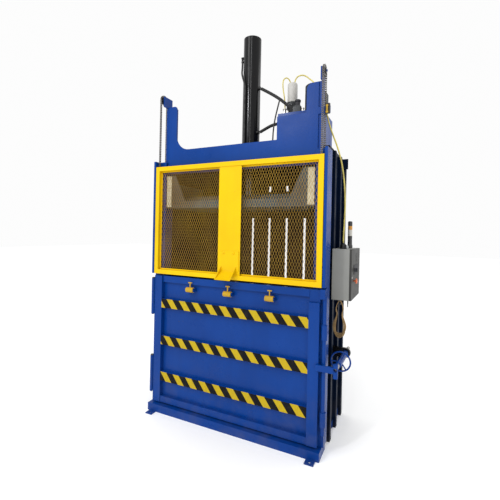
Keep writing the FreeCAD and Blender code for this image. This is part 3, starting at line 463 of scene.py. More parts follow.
class Solid:
    """Collects shapes in metres and turns them into one finished piece."""

    def __init__(self, name: str) -> None:
        """Starts an empty piece."""
        self.name = name
        self.mesh = bmesh.new()

    def box(self, low: Point, high: Point) -> "Solid":
        """Adds a block between two corners.

        Args:
            low: Its low corner.
            high: Its high corner.

        Returns:
            The piece itself.
        """
        size = Vector(high) - Vector(low)
        place = Matrix.Translation((Vector(low) + Vector(high)) / 2)
        bmesh.ops.create_cube(self.mesh, size=1.0, matrix=place @ Matrix.Diagonal((*size, 1.0)))
        return self

    def turned(self, start: Point, axis: Axis, outline: list[tuple[float, float]],
               sides: int = 40) -> "Solid":
        """Adds a turned shape.

        Args:
            start: The point that the outline's lengths are measured from.
            axis: The direction it is turned about.
            outline: Pairs of length along the axis and radius, from one end to the other.
            sides: Faces around it.

        Returns:
            The piece itself.
        """
        along = Vector(axis.value)
        side = Vector((0, 0, 1)) if axis is not Axis.Z else Vector((1, 0, 0))
        other = along.cross(side)
        rings = []
        for length, radius in outline:
            centre = Vector(start) + along * length
            if radius <= 0:
                rings.append([self.mesh.verts.new(centre)])
                continue
            ring = []
            for step in range(sides):
                angle = 2 * math.pi * step / sides
                spoke = side * math.cos(angle) + other * math.sin(angle)
                ring.append(self.mesh.verts.new(centre + spoke * radius))
            rings.append(ring)
        for ring, following in zip(rings, rings[1:]):
            for step in range(sides):
                corners = (ring[step % len(ring)], ring[(step + 1) % len(ring)],
                           following[(step + 1) % len(following)],
                           following[step % len(following)])
                self.mesh.faces.new(list(dict.fromkeys(corners)))
        for ring in (rings[0], rings[-1]):
            if len(ring) > 1:
                self.mesh.faces.new(ring)
        return self

    def strut(self, start: Point, end: Point, wide: float, thick: float) -> "Solid":
        """Adds a flat bar between two points in the plane across Y.

        Args:
            start: Its first end.
            end: Its other end.
            wide: Its width in that plane.
            thick: Its thickness along Y.

        Returns:
            The piece itself.
        """
        run = Vector(end) - Vector(start)
        turn = run.to_track_quat("Z", "Y").to_matrix().to_4x4()
        place = Matrix.Translation((Vector(start) + Vector(end)) / 2)
        size = Matrix.Diagonal((wide, thick, run.length, 1.0))
        bmesh.ops.create_cube(self.mesh, size=1.0, matrix=place @ turn @ size)
        return self

    def plain(self) -> bpy.types.Object:
        """The shape as an object with no finish, for use as a repeated unit.

        Returns:
            The object.
        """
        bmesh.ops.recalc_face_normals(self.mesh, faces=self.mesh.faces)
        data = bpy.data.meshes.new(self.name)
        self.mesh.to_mesh(data)
        self.mesh.free()
        return new_object(self.name, data)

    def finish(self, paint: Paint, body: str, slot: str, replaces: tuple[str, ...] = (),
               round_edges: float = 0.0) -> bpy.types.Object:
        """Turns the shapes into a piece of the model.

        Args:
            paint: Its finish.
            body: The moving body that it rides on.
            slot: The material slot that it stands for; not used.
            replaces: The solid nodes that it is shown in place of.
            round_edges: Width of the rounded edges.

        Returns:
            The finished object.
        """
        return dress(self.plain(), paint, body, replaces, round_edges)


def dress(piece: bpy.types.Object, paint: Paint, body: str,
          replaces: tuple[str, ...] = (), round_edges: float = 0.0) -> bpy.types.Object:
    """Gives a piece its finish, soft shading and place in the tree of bodies.

    Args:
        piece: The piece to dress.
        paint: Its finish.
        body: The moving body that it rides on.
        replaces: The solid nodes that it is shown in place of.
        round_edges: Width of the rounded edges.

    Returns:
        The same piece.
    """
    piece.data.materials.clear()
    piece.data.materials.append(paint.material())
    if piece.type == "MESH":
        if round_edges:
            edge = piece.modifiers.new("Rounding", "BEVEL")
            edge.width = round_edges
            edge.segments = 2
            edge.limit_method = "ANGLE"
        piece.data.shade_smooth()
        piece.data.set_sharp_from_angle(angle=math.radians(35))
    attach(piece, body)
    if replaces:
        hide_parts(*replaces)
    LOG.info("%s rides on %s", piece.name, body)
    return piece


class Pattern(Nodes):
    """A node tree that repeats a unit piece over points, then realises and paints it."""

    def __init__(self, name: str, sizes: dict[str, str]) -> None:
        """Starts the tree.

        Args:
            name: The tree's name.
            sizes: Socket type of each named input.
        """
        self.tree = bpy.data.node_groups.new(name, "GeometryNodeTree")
        face = self.tree.interface
        face.new_socket("Geometry", in_out="INPUT", socket_type="NodeSocketGeometry")
        self.keys = {}
        for label, kind in {**sizes, "Unit": "NodeSocketObject",
                            "Finish": "NodeSocketMaterial"}.items():
            self.keys[label] = face.new_socket(label, in_out="INPUT", socket_type=kind).identifier
        face.new_socket("Geometry", in_out="OUTPUT", socket_type="NodeSocketGeometry")
        self.inputs = self.add("NodeGroupInput").outputs

    def close(self, points: Socket, turn: Socket | None = None) -> None:
        """Puts the unit on the points and ends the tree.

        Args:
            points: The points to fill.
            turn: The turn of each unit, if they are turned.
        """
        unit = self.add("GeometryNodeObjectInfo", {"Object": self.inputs["Unit"]})
        sockets = {"Points": points, "Instance": unit.outputs["Geometry"]}
        if turn is not None:
            sockets["Rotation"] = turn
        placed = self.add("GeometryNodeInstanceOnPoints", sockets)
        real = self.add("GeometryNodeRealizeInstances", {0: placed.outputs[0]})
        painted = self.add("GeometryNodeSetMaterial", {"Geometry": real.outputs[0],
                                                       "Material": self.inputs["Finish"]})
        self.add("NodeGroupOutput", {0: painted.outputs[0]})

    def make(self, name: str, unit: bpy.types.Object, paint: Paint, body: str, slot: str,
             replaces: tuple[str, ...] = (), path: list[Point] | None = None,
             **sizes: object) -> bpy.types.Object:
        """Runs the tree once and keeps its result as a plain mesh.

        Args:
            name: The piece's name.
            unit: The piece to repeat, which is used up.
            paint: Its finish.
            body: The moving body that it rides on.
            slot: The material slot that it stands for; not used.
            replaces: The solid nodes that it is shown in place of.
            path: Points of the line that the units follow, if the tree needs one.
            sizes: Values for the tree's named inputs.

        Returns:
            The finished object.
        """
        line = bpy.data.meshes.new("Line")
        points = path or []
        line.from_pydata(points, [(n, n + 1) for n in range(len(points) - 1)], [])
        holder = new_object("Holder", line)
        live = holder.modifiers.new("Pattern", "NODES")
        live.node_group = self.tree
        for label, value in {**sizes, "Unit": unit, "Finish": paint.material()}.items():
            live[self.keys[label]] = value
        graph = bpy.context.evaluated_depsgraph_get()
        data = bpy.data.meshes.new_from_object(holder.evaluated_get(graph))
        holder.modifiers.clear()
        bpy.data.objects.remove(holder)
        bpy.data.objects.remove(unit)
        return dress(new_object(name, data), paint, body, replaces)


def grid_pattern() -> Pattern:
    """Units on an upright grid across Y.

    Returns:
        The pattern.
    """
    pattern = Pattern("UprightGrid", {"Across": "NodeSocketFloat", "Up": "NodeSocketFloat",
                                      "Columns": "NodeSocketInt", "Rows": "NodeSocketInt",
                                      "Centre": "NodeSocketVector"})
    read = pattern.inputs
    grid = pattern.add("GeometryNodeMeshGrid", {"Size X": read["Across"], "Size Y": read["Up"],
                                                "Vertices X": read["Columns"],
                                                "Vertices Y": read["Rows"]})
    stood = pattern.add("GeometryNodeTransform", {"Geometry": grid.outputs["Mesh"],
                                                  "Rotation": (math.pi / 2, 0.0, 0.0),
                                                  "Translation": read["Centre"]})
    pattern.close(stood.outputs[0])
    return pattern


def path_pattern() -> Pattern:
    """Units along a line in a plane across X, each turned to follow it.

    Returns:
        The pattern.
    """
    pattern = Pattern("AlongLine", {"Count": "NodeSocketInt"})
    curve = pattern.add("GeometryNodeMeshToCurve", {0: pattern.inputs["Geometry"]})
    even = pattern.add("GeometryNodeResampleCurve", {"Curve": curve.outputs[0],
                                                     "Count": pattern.inputs["Count"]})
    tangent = pattern.add("GeometryNodeInputTangent")
    turn = pattern.add("FunctionNodeAlignRotationToVector", {"Vector": tangent.outputs[0]},
                       axis="Y", pivot_axis="X")
    pattern.close(even.outputs[0], turn.outputs[0])
    return pattern


def ring_pattern() -> Pattern:
    """Units on a level ring, each turned to point away from its middle.

    Returns:
        The pattern.
    """
    pattern = Pattern("LevelRing", {"Count": "NodeSocketInt", "Radius": "NodeSocketFloat",
                                    "Centre": "NodeSocketVector"})
    read = pattern.inputs
    ring = pattern.add("GeometryNodeMeshCircle", {"Vertices": read["Count"],
                                                  "Radius": read["Radius"]})
    place = pattern.add("GeometryNodeInputPosition")
    turn = pattern.add("FunctionNodeAlignRotationToVector", {"Vector": place.outputs[0]},
                       axis="X", pivot_axis="Z")
    kept = pattern.add("GeometryNodeCaptureAttribute", {0: ring.outputs["Mesh"]})
    kept.capture_items.new("ROTATION", "Turn")
    pattern.join(turn.outputs[0], kept.inputs["Turn"])
    moved = pattern.add("GeometryNodeTransform", {"Geometry": kept.outputs[0],
                                                  "Translation": read["Centre"]})
    pattern.close(moved.outputs[0], kept.outputs["Turn"])
    return pattern


def smooth_line(name: str, radius: float, points: list[Point], sides: int,
                steps: int) -> bpy.types.Object:
    """A round line that runs smoothly between its first and last points.

    Args:
        name: The piece's name.
        radius: Its radius.
        points: The points that guide it.
        sides: Fineness around it.
        steps: Fineness along it.

    Returns:
        The curve object.
    """
    data = bpy.data.curves.new(name, "CURVE")
    data.dimensions = "3D"
    data.bevel_depth = radius
    data.bevel_resolution = sides
    data.resolution_u = steps
    line = data.splines.new("NURBS")
    line.points.add(len(points) - 1)
    for spot, place in zip(line.points, points):
        spot.co = (*place, 1.0)
    line.order_u = 3
    line.use_endpoint_u = True
    return new_object(name, data)


@dataclass
class Cord:
    """A hose, pipe or cable that follows one smooth line."""

    name: str
    radius: float
    points: list[Point]
    paint: Paint
    slot: str
    node: str

    def build(self) -> bpy.types.Object:
        """Makes the cord in place of its solid.

        Returns:
            The finished object.
        """
        metres = [tuple(value / 1000.0 for value in place) for place in self.points]
        piece = smooth_line(self.name, self.radius, metres, sides=5, steps=10)
        piece.data.use_fill_caps = True
        return dress(piece, self.paint, "frame", (self.node,))


# ---- sub-assemblies ---------------------------------------------------------------------------
@dataclass
class Studio:
    """Pale floor, soft lights and the camera."""

    eye: Point = (1.3648, -2.4340, 1.6268)
    yaw: float = 25.655
    pitch: float = -0.094
    roll: float = 1.223
    lens: float = 24.464
    shift: tuple[float, float] = (-0.0005, -0.0324)
    middle: Point = (0.0, 0.3, 1.6)
    sky_level: float = 0.98

    def build(self) -> None:
        """Makes the floor, the lights and the camera."""
        self.floor()
        self.light("Key", (-2.2, -4.6, 7.0), (2.4, 2.4), 90.0, (1.0, 0.99, 0.97))
        self.light("Streak", (1.3, -6.0, 6.2), (0.45, 5.0), 95.0, (0.98, 0.99, 1.0))
        self.light("Glint", (-1.95, -6.0, 5.25), (0.4, 0.6), 105.0, (0.95, 0.97, 1.0))
        self.light("Rim", (3.4, 3.2, 4.2), (2.0, 2.0), 25.0, (0.95, 0.98, 1.0))
        self.sky()
        self.camera()

    def floor(self) -> None:
        """Makes the floor."""
        piece = Solid("Floor").box((-30, -30, -0.02), (30, 30, 0.0)).plain()
        graph = Graph("studio_floor")
        shade = graph.level(graph.noise(0.8, 3.0), 0.3, 0.7)
        graph.colour(graph.blend(shade, (0.955, 0.955, 0.955), (0.94, 0.94, 0.94)))
        graph.set(Roughness=0.9, Specular_IOR_Level=0.1, Emission_Strength=0.1,
                  Emission_Color=(1.0, 1.0, 1.0, 1.0))
        piece.data.materials.append(graph.material)

    def light(self, name: str, place: Point, size: tuple[float, float], power: float,
              tint: Colour) -> None:
        """Adds one soft light aimed at the machine's middle.

        Args:
            name: The light's name.
            place: Where it stands.
            size: Its width and height.
            power: Its power in watts.
            tint: Its colour.
        """
        data = bpy.data.lights.new(name, "AREA")
        data.shape = "RECTANGLE"
        data.size, data.size_y = size
        data.energy = power
        data.color = tint
        turn = (Vector(self.middle) - Vector(place)).to_track_quat("-Z", "Y")
        lamp = new_object(name, data)
        lamp.matrix_world = Matrix.Translation(place) @ turn.to_matrix().to_4x4()

    def sky(self) -> None:
        """Sets the pale surroundings."""
        world = bpy.data.worlds.new("Surroundings")
        world.use_nodes = True
        pale = world.node_tree.nodes["Background"].inputs
        pale["Color"].default_value = (1.0, 1.0, 1.0, 1.0)
        pale["Strength"].default_value = self.sky_level
        bpy.context.scene.world = world
        bpy.context.scene.view_settings.view_transform = "Standard"

    def camera(self) -> None:
        """Places the camera."""
        yaw, pitch, roll = (math.radians(a) for a in (self.yaw, self.pitch, self.roll))
        ahead = Vector((-math.sin(yaw) * math.cos(pitch), math.cos(yaw) * math.cos(pitch),
                        math.sin(pitch)))
        right = Vector((math.cos(yaw), math.sin(yaw), 0.0))
        up = right.cross(ahead)
        leant = right * math.cos(roll) + up * math.sin(roll)
        raised = up * math.cos(roll) - right * math.sin(roll)
        data = bpy.data.cameras.new("View")
        data.lens = self.lens
        data.sensor_width = 36.0
        data.shift_x, data.shift_y = self.shift
        camera = new_object("View", data)
        turn = Matrix((leant, raised, -ahead)).transposed().to_4x4()
        camera.matrix_world = Matrix.Translation(self.eye) @ turn
        bpy.context.scene.camera = camera


@dataclass
class NodeFinishes:
    """Finishes of the solid nodes whose own shape is shown."""

    groups: dict[Paint, tuple[str, ...]] = field(default_factory=lambda: {
        Paint.BODY: ("base_frame", "anchor_feet", "left_post", "right_post", "header_frame",
                     "door_frame", "door_sheet", "frame_hinges", "oil_tank", "lock_arm",
                     "dog_lugs", "lock_rod", "rod_clamps", "handwheel", "sprocket_brackets"),
        # The side walls and crown beam get the dark copy of the body blue, which paints their
        # shade.
        Paint.SIDE: ("left_side_wall", "right_side_wall", "crown_beam"),
        Paint.LINING: ("rear_wall",),
        Paint.WORN: ("platen",),
        Paint.GATE: ("gate_frame", "gate_panel", "gate_pull"),
        Paint.DOG: ("dog_lever_1", "dog_lever_2", "dog_lever_3"),
        Paint.TAPE: ("hazard_rib_1", "hazard_rib_2", "hazard_rib_3"),
        Paint.BLACK: ("cylinder_barrel", "cylinder_cap", "lock_bracket"),
        Paint.SHADED_CHROME: ("piston_rod",),
        Paint.BRIGHT: ("lock_screw",),
        Paint.IRON: ("counterweights", "sprockets", "hinge_pins", "cord_hooks"),
        Paint.STRIP: ("wear_strips",),
        Paint.BOX: ("control_box",),
        # The control door gets the dark copy of the box grey, which paints its shade.
        Paint.SHADED_BOX_DOOR: ("control_door",),
        Paint.KNOB: ("limit_switch",),
    })

    def build(self, nodes: dict[str, bpy.types.Object]) -> None:
        """Puts the finishes on the nodes.

        Args:
            nodes: The solid nodes by name.
        """
        for paint, names in self.groups.items():
            for name in names:
                data = nodes[name].data
                data.materials.clear()
                data.materials.append(paint.material())


@dataclass
class FeedGate:
    """Expanded metal and bolts of the sliding gate."""

    short_way: float = 0.022
    long_way: float = 0.0508
    strand: float = 0.0032
    strand_thick: float = 0.0013
    back: float = 0.031
    clamp: float = 0.012
    clamp_half: float = 0.0015

    def build(self) -> None:
        """Makes the mesh and the domed bolts."""
        low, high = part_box("gate_mesh")
        middle = halfway(low, high)
        unit = Solid("Strands")
        for across in (-1, 1):
            for up in (-1, 1):
                end = (across * self.short_way / 2, 0.0, up * self.long_way / 2)
                unit.strut((0.0, 0.0, 0.0), end, self.strand, self.strand_thick)
        columns = int((high[0] - low[0]) / self.short_way)
        rows = int((high[2] - low[2]) / self.long_way)
        grid_pattern().make(
            "GateMesh", unit.plain(), Paint.MESH, "gate", "yellow_mesh", ("gate_mesh",),
            Across=(columns - 1) * self.short_way, Up=(rows - 1) * self.long_way,
            Columns=columns, Rows=rows, Centre=(middle[0], self.back, middle[2]))
        self.edges(low, high)
        self.bolts()

    def edges(self, low: Point, high: Point) -> None:
        """Adds the flat strips that clamp the mesh along the frame.

        Args:
            low: Low corner of the mesh.
            high: High corner of the mesh.
        """
        strips = Solid("MeshClamps")
        wide = self.clamp
        near, far = self.back - self.clamp_half, self.back + self.clamp_half
        for side in (low[0], high[0] - wide):
            strips.box((side, near, low[2]), (side + wide, far, high[2]))
        for level in (low[2], high[2] - wide):
            strips.box((low[0] + wide, near, level), (high[0] - wide, far, level + wide))
        strips.finish(Paint.GATE, "gate", "yellow_paint", round_edges=0.0006)

    def bolts(self) -> None:
        """Makes the domed bolts on the pull plate."""
        low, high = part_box("gate_bolts")
        level = halfway(low, high)[2]
        piece = Solid("PullBolts")
        radius = (high[2] - low[2]) / 2
        for across in (low[0] + radius, high[0] - radius):
            dome = [(0.0, radius), (-0.0012, radius), (-0.004, radius * 0.86),
                    (-0.0064, radius * 0.5), (-0.0075, 0.0)]
            piece.turned((across, high[1], level), Axis.Y, dome, 28)
        piece.finish(Paint.GATE, "gate", "ground_steel", ("gate_bolts",))


@dataclass
class ChainDrive:
    """Roller chains between the gate, the sprockets and the counterweights."""

    pitch: float = 0.01588
    plate: float = 0.0024
    half_gap: float = 0.0049
    wide: float = 0.0059
    roller: float = 0.005
    travel: float = 0.52
    slack: float = 0.014
    lines: tuple[float, ...] = (-0.75, 0.75)
    over: int = 24

    def link(self) -> bpy.types.Object:
        """One link with its two plates and a roller.

        Returns:
            The link as a plain object.
        """
        unit = Solid("Link")
        for side in (-1, 1):
            inner = side * self.half_gap
            outer = side * (self.half_gap + self.plate)
            near, far = sorted((inner, outer))
            for end in (-self.pitch / 2, self.pitch / 2):
                unit.turned((near, end * 0.94, 0.0), Axis.X, [(0.0, self.wide),
                                                              (far - near, self.wide)], 10)
            unit.box((near + 0.0003, -self.pitch / 2, -self.wide * 0.62),
                     (far - 0.0003, self.pitch / 2, self.wide * 0.62))
        unit.turned((-self.half_gap, self.pitch / 2, 0.0), Axis.X,
                    [(0.0, self.roller), (self.half_gap * 2, self.roller)], 10)
        return unit.plain()

    def run(self, name: str, path: list[Point], length: float, body: str,
            node: tuple[str, ...]) -> bpy.types.Object:
        """Makes one run of chain along a line.

        Args:
            name: The piece's name.
            path: Points of the line.
            length: The line's length.
            body: The moving body that it rides on.
            node: The solid node that it is shown in place of.

        Returns:
            The run of chain.
        """
        count = int(length / self.pitch) + 1
        return path_pattern().make(name, self.link(), Paint.CHAIN, body, "chain_steel", node,
                                   path, Count=count)

    def build(self) -> None:
        """Makes the front and rear runs on both sides."""
        low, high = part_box("front_chains")
        rear_low, rear_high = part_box("rear_chains")
        front = halfway(low, high)[1]
        for side, label in zip(self.lines, ("Left", "Right")):
            trim = self.pitch * 0.9
            path = [(side, front, low[2] + trim), (side, front, high[2] - trim)]
            chain = self.run(f"FrontChain{label}", path, high[2] - low[2] - 2 * trim, "gate",
                             ("front_chains",))
            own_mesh(chain)
            self.rear(side, label, front, rear_low, rear_high, high[2])
            self.anchor(side, label, front, low[2])

    def rear(self, side: float, label: str, front: float, low: Point, high: Point,
             level: float) -> None:
        """Makes the run over one sprocket and down to its counterweight.

        Args:
            side: X of the chain.
            label: The side's name.
            front: Y of the front run.
            low: Low corner of the solid chain.
            high: High corner of the solid chain.
            level: Height of the sprocket's middle.
        """
        back = high[1] - 0.0065
        radius = (back - front) / 2
        middle = (back + front) / 2
        path = []
        for step in range(self.over + 1):
            angle = math.pi * (1 - step / self.over)
            path.append((side, middle + radius * math.cos(angle),
                         level + 0.0003 + radius * math.sin(angle)))
        path.append((side, back, low[2] + self.pitch))
        length = math.pi * radius + level - low[2] - self.pitch
        self.run(f"RearChain{label}", path, length, "frame", ("rear_chains",))

    def anchor(self, side: float, label: str, front: float, level: float) -> None:
        """Adds the screwed end that holds the chain to the gate.

        Args:
            side: X of the chain.
            label: The side's name.
            front: Y of the chain.
            level: Height of the chain's lower end.
        """
        piece = Solid(f"ChainAnchor{label}")
        piece.turned((side, front, level - 0.0003), Axis.Z,
                     [(0.0, 0.011), (0.009, 0.011), (0.0095, 0.006), (0.016, 0.006)], 6)
        piece.finish(Paint.IRON, "gate", "dark_steel", round_edges=0.0006)


@dataclass
class GateSwitch:
    """Yellow roller lever of the switch that the raised gate trips."""

    arm: float = 0.046
    half_wide: float = 0.005
    thick: float = 0.0014
    roller: float = 0.009
    pivot_height: float = 0.062

    def build(self) -> None:
        """Makes the lever, its hub and the roller."""
        low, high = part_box("limit_switch")
        across = halfway(low, high)[0]
        pivot = low[2] + self.pivot_height
        front = low[1] - CLEAR
        lever = Solid("SwitchLever")
        lever.box((across - self.half_wide, front - self.thick, pivot - self.arm),
                  (across + self.half_wide, front, pivot))
        for level in (pivot, pivot - self.arm):
            lever.turned((across, front - 0.0020, level), Axis.Y,
                         [(0.0, self.roller), (0.0019, self.roller)], 24)
        lever.finish(Paint.DOG, "frame", "yellow_paint")


@dataclass
class PressRam:
    """Flange of the cylinder with its bolts, and the nuts of its cap pipe."""

    bolts: int = 10
    circle: float = 0.098
    bore: float = 0.0802
    rim: float = 0.112
    centre: tuple[float, float] = (0.0, 0.375)
    pipe_ends: tuple[Point, ...] = ((-0.086, 0.345, 3.1933), (-0.022, 0.284, 2.3405))

    def build(self) -> None:
        """Makes the flange, its bolts and the pipe nuts."""
        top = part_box("crown_beam")[1][2]
        inner, outer = self.bore, self.rim
        rim = Solid("CylinderFlange")
        rim.turned((*self.centre, top), Axis.Z, [(CLEAR, outer), (0.016, outer),
                                                 (0.018, outer - 0.003), (0.018, inner),
                                                 (CLEAR, inner)], 56)
        rim.finish(Paint.BLACK, "frame", "black_paint")
        unit = Solid("FlangeBolt")
        unit.turned((0, 0, 0.0181), Axis.Z, [(0.0, 0.0075), (0.0075, 0.0075), (0.0085, 0.0062)], 6)
        ring_pattern().make("FlangeBolts", unit.plain(), Paint.IRON, "frame", "dark_steel",
                            Count=self.bolts, Radius=self.circle, Centre=(*self.centre, top))
        nuts = Solid("PipeNuts")
        for place in self.pipe_ends:
            nuts.turned(place, Axis.Z, [(0.0, 0.0125), (0.012, 0.0125), (0.014, 0.0095)], 6)
        nuts.finish(Paint.IRON, "frame", "dark_steel")


@dataclass
class PowerUnit:
    """Motor with cooling ribs, filter canister and their fittings."""

    ribs: int = 30
    slots: int = 12
    slot_ring: float = 0.044
    filler: tuple[float, float] = (0.352, 0.560)
    gauge_back: tuple[float, float] = (0.52, 0.55)
    gauge_level: tuple[float, float] = (2.42, 2.56)
    gauge_proud: float = 0.009
    coil: tuple[float, float] = (0.462, 0.3185)
    fittings: tuple[Point, ...] = ((0.346, 0.318, 0.050), (0.505, 0.318, 0.036))

    def build(self) -> None:
        """Makes the motor, the filter and the tank's small parts."""
        self.motor()
        self.canister()
        self.tank_parts()

    def motor(self) -> None:
        """Makes the ribbed motor in place of its plain solid."""
        low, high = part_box("drive_motor")
        radius = (high[1] - low[1]) / 2
        centre = (low[0] + radius, halfway(low, high)[1])
        base = low[2]
        core = radius - 0.016
        body = Solid("MotorBody")
        body.turned((*centre, base), Axis.Z, [
            (0.0, radius - 0.014), (0.012, radius - 0.014), (0.013, radius - 0.024),
            (0.055, radius - 0.02), (0.060, core), (0.205, core), (0.207, radius - 0.006),
            (0.216, radius - 0.002), (0.258, radius - 0.002), (0.264, radius - 0.008),
            (0.265, 0.018), (0.262, 0.0)], 48)
        body.finish(Paint.MOTOR, "frame", "motor_paint", ("drive_motor",), 0.001)
        fin = Solid("Fin").box((-0.002, -0.0016, 0.062), (0.014, 0.0016, 0.204))
        ring_pattern().make("MotorFins", fin.plain(), Paint.MOTOR, "frame", "motor_paint",
                            Count=self.ribs, Radius=core, Centre=(*centre, base))
        slot = Solid("CowlSlot").box((-0.011, -0.0025, 0.2648), (0.022, 0.0025, 0.2652))
        ring_pattern().make("CowlSlots", slot.plain(), Paint.KNOB, "frame", "black_plastic",
                            Count=self.slots, Radius=self.slot_ring, Centre=(*centre, base))
        case = Solid("MotorTerminals")
        case.box((high[0] - 0.046, centre[1] - 0.043, high[2] - 0.168),
                 (high[0] - 0.006, centre[1] + 0.043, high[2] - 0.082))
        case.box((high[0] - 0.006, centre[1] - 0.045, high[2] - 0.17),
                 (high[0], centre[1] + 0.045, high[2] - 0.08))
        case.finish(Paint.MOTOR, "frame", "motor_paint", round_edges=0.003)

    def canister(self) -> None:
        """Makes the filter can with its rolled rim and grip ring, and its cast head."""
        low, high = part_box("filter_canister")
        centre = halfway(low, high)[:2]
        radius = (high[0] - low[0]) / 2
        tall = high[2] - low[2]
        can = Solid("FilterCan")
        can.turned((*centre, low[2]), Axis.Z, [
            (0.0, radius - 0.001), (0.004, radius), (0.009, radius), (0.011, radius - 0.003),
            (tall - 0.022, radius - 0.003), (tall - 0.010, radius - 0.007),
            (tall - 0.003, radius - 0.017), (tall, radius - 0.026), (tall, 0.0)], 48)
        can.finish(Paint.CANISTER, "frame", "filter_paint", ("filter_canister",))
        head_low, head_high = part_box("filter_head")
        wide = (head_high[0] - head_low[0]) / 2
        head = Solid("FilterHead")
        drop = head_high[2] - head_low[2]
        head.turned((*centre, head_low[2]), Axis.Z, [
            (0.0, wide - 0.006), (0.010, wide - 0.006), (0.012, wide - 0.016),
            (drop - 0.062, wide - 0.014), (drop - 0.056, wide), (drop - 0.012, wide),
            (drop - 0.010, wide - 0.002), (drop, wide - 0.002), (drop, 0.0)], 48)
        for turn in (-1, 1):
            head.turned((centre[0] + turn * 0.004, centre[1] - wide - 0.012, head_low[2] + 0.118),
                        Axis.Y, [(0.0, 0.012), (0.014, 0.012)], 6)
        head.finish(Paint.MOTOR, "frame", "motor_paint", ("filter_head",), 0.001)

    def tank_parts(self) -> None:
        """Adds the tank's filler cap, level gauge and valves."""
        low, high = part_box("oil_tank")
        top = high[2] - 0.015
        cap = Solid("FillerCap")
        cap.turned((*self.filler, top + CLEAR), Axis.Z, [
            (0.0, 0.030), (0.010, 0.030), (0.012, 0.026), (0.034, 0.026), (0.036, 0.023),
            (0.036, 0.0)], 32)
        cap.finish(Paint.KNOB, "frame", "black_plastic")
        near, far = self.gauge_back
        foot, peak = self.gauge_level
        gauge = Solid("LevelGauge")
        gauge.box((low[0] - self.gauge_proud, near, foot), (low[0] - 0.0003, far, peak))
        gauge.finish(Paint.GLAND, "frame", "light_plastic", round_edges=0.003)
        self.valves(top + CLEAR)

    def valves(self, level: float) -> None:
        """Adds the valve block, its black coil cap and two fittings beside the filter.

        Args:
            level: Height that they stand on.
        """
        block = Solid("ValveBlock")
        block.box((0.428, 0.285, level), (0.496, 0.352, level + 0.058))
        block.box((0.436, 0.296, level + 0.058), (0.488, 0.341, level + 0.070))
        block.finish(Paint.MOTOR, "frame", "motor_paint", round_edges=0.002)
        coil = Solid("ValveCoil")
        coil.turned((*self.coil, level + 0.0702), Axis.Z, [
            (0.0, 0.021), (0.030, 0.021), (0.033, 0.026), (0.046, 0.026), (0.050, 0.022),
            (0.050, 0.0)], 32)
        coil.finish(Paint.KNOB, "frame", "black_plastic")
        fittings = Solid("TankFittings")
        for across, back, tall in self.fittings:
            fittings.turned((across, back, level), Axis.Z, [
                (0.0, 0.019), (0.014, 0.019), (0.015, 0.013), (tall, 0.013), (tall, 0.0)], 6)
            fittings.turned((across, back, level + tall + 0.0001), Axis.Z, [
                (0.0, 0.016), (0.010, 0.016), (0.012, 0.010), (0.012, 0.0)], 24)
        fittings.finish(Paint.BRIGHT, "frame", "ground_steel")


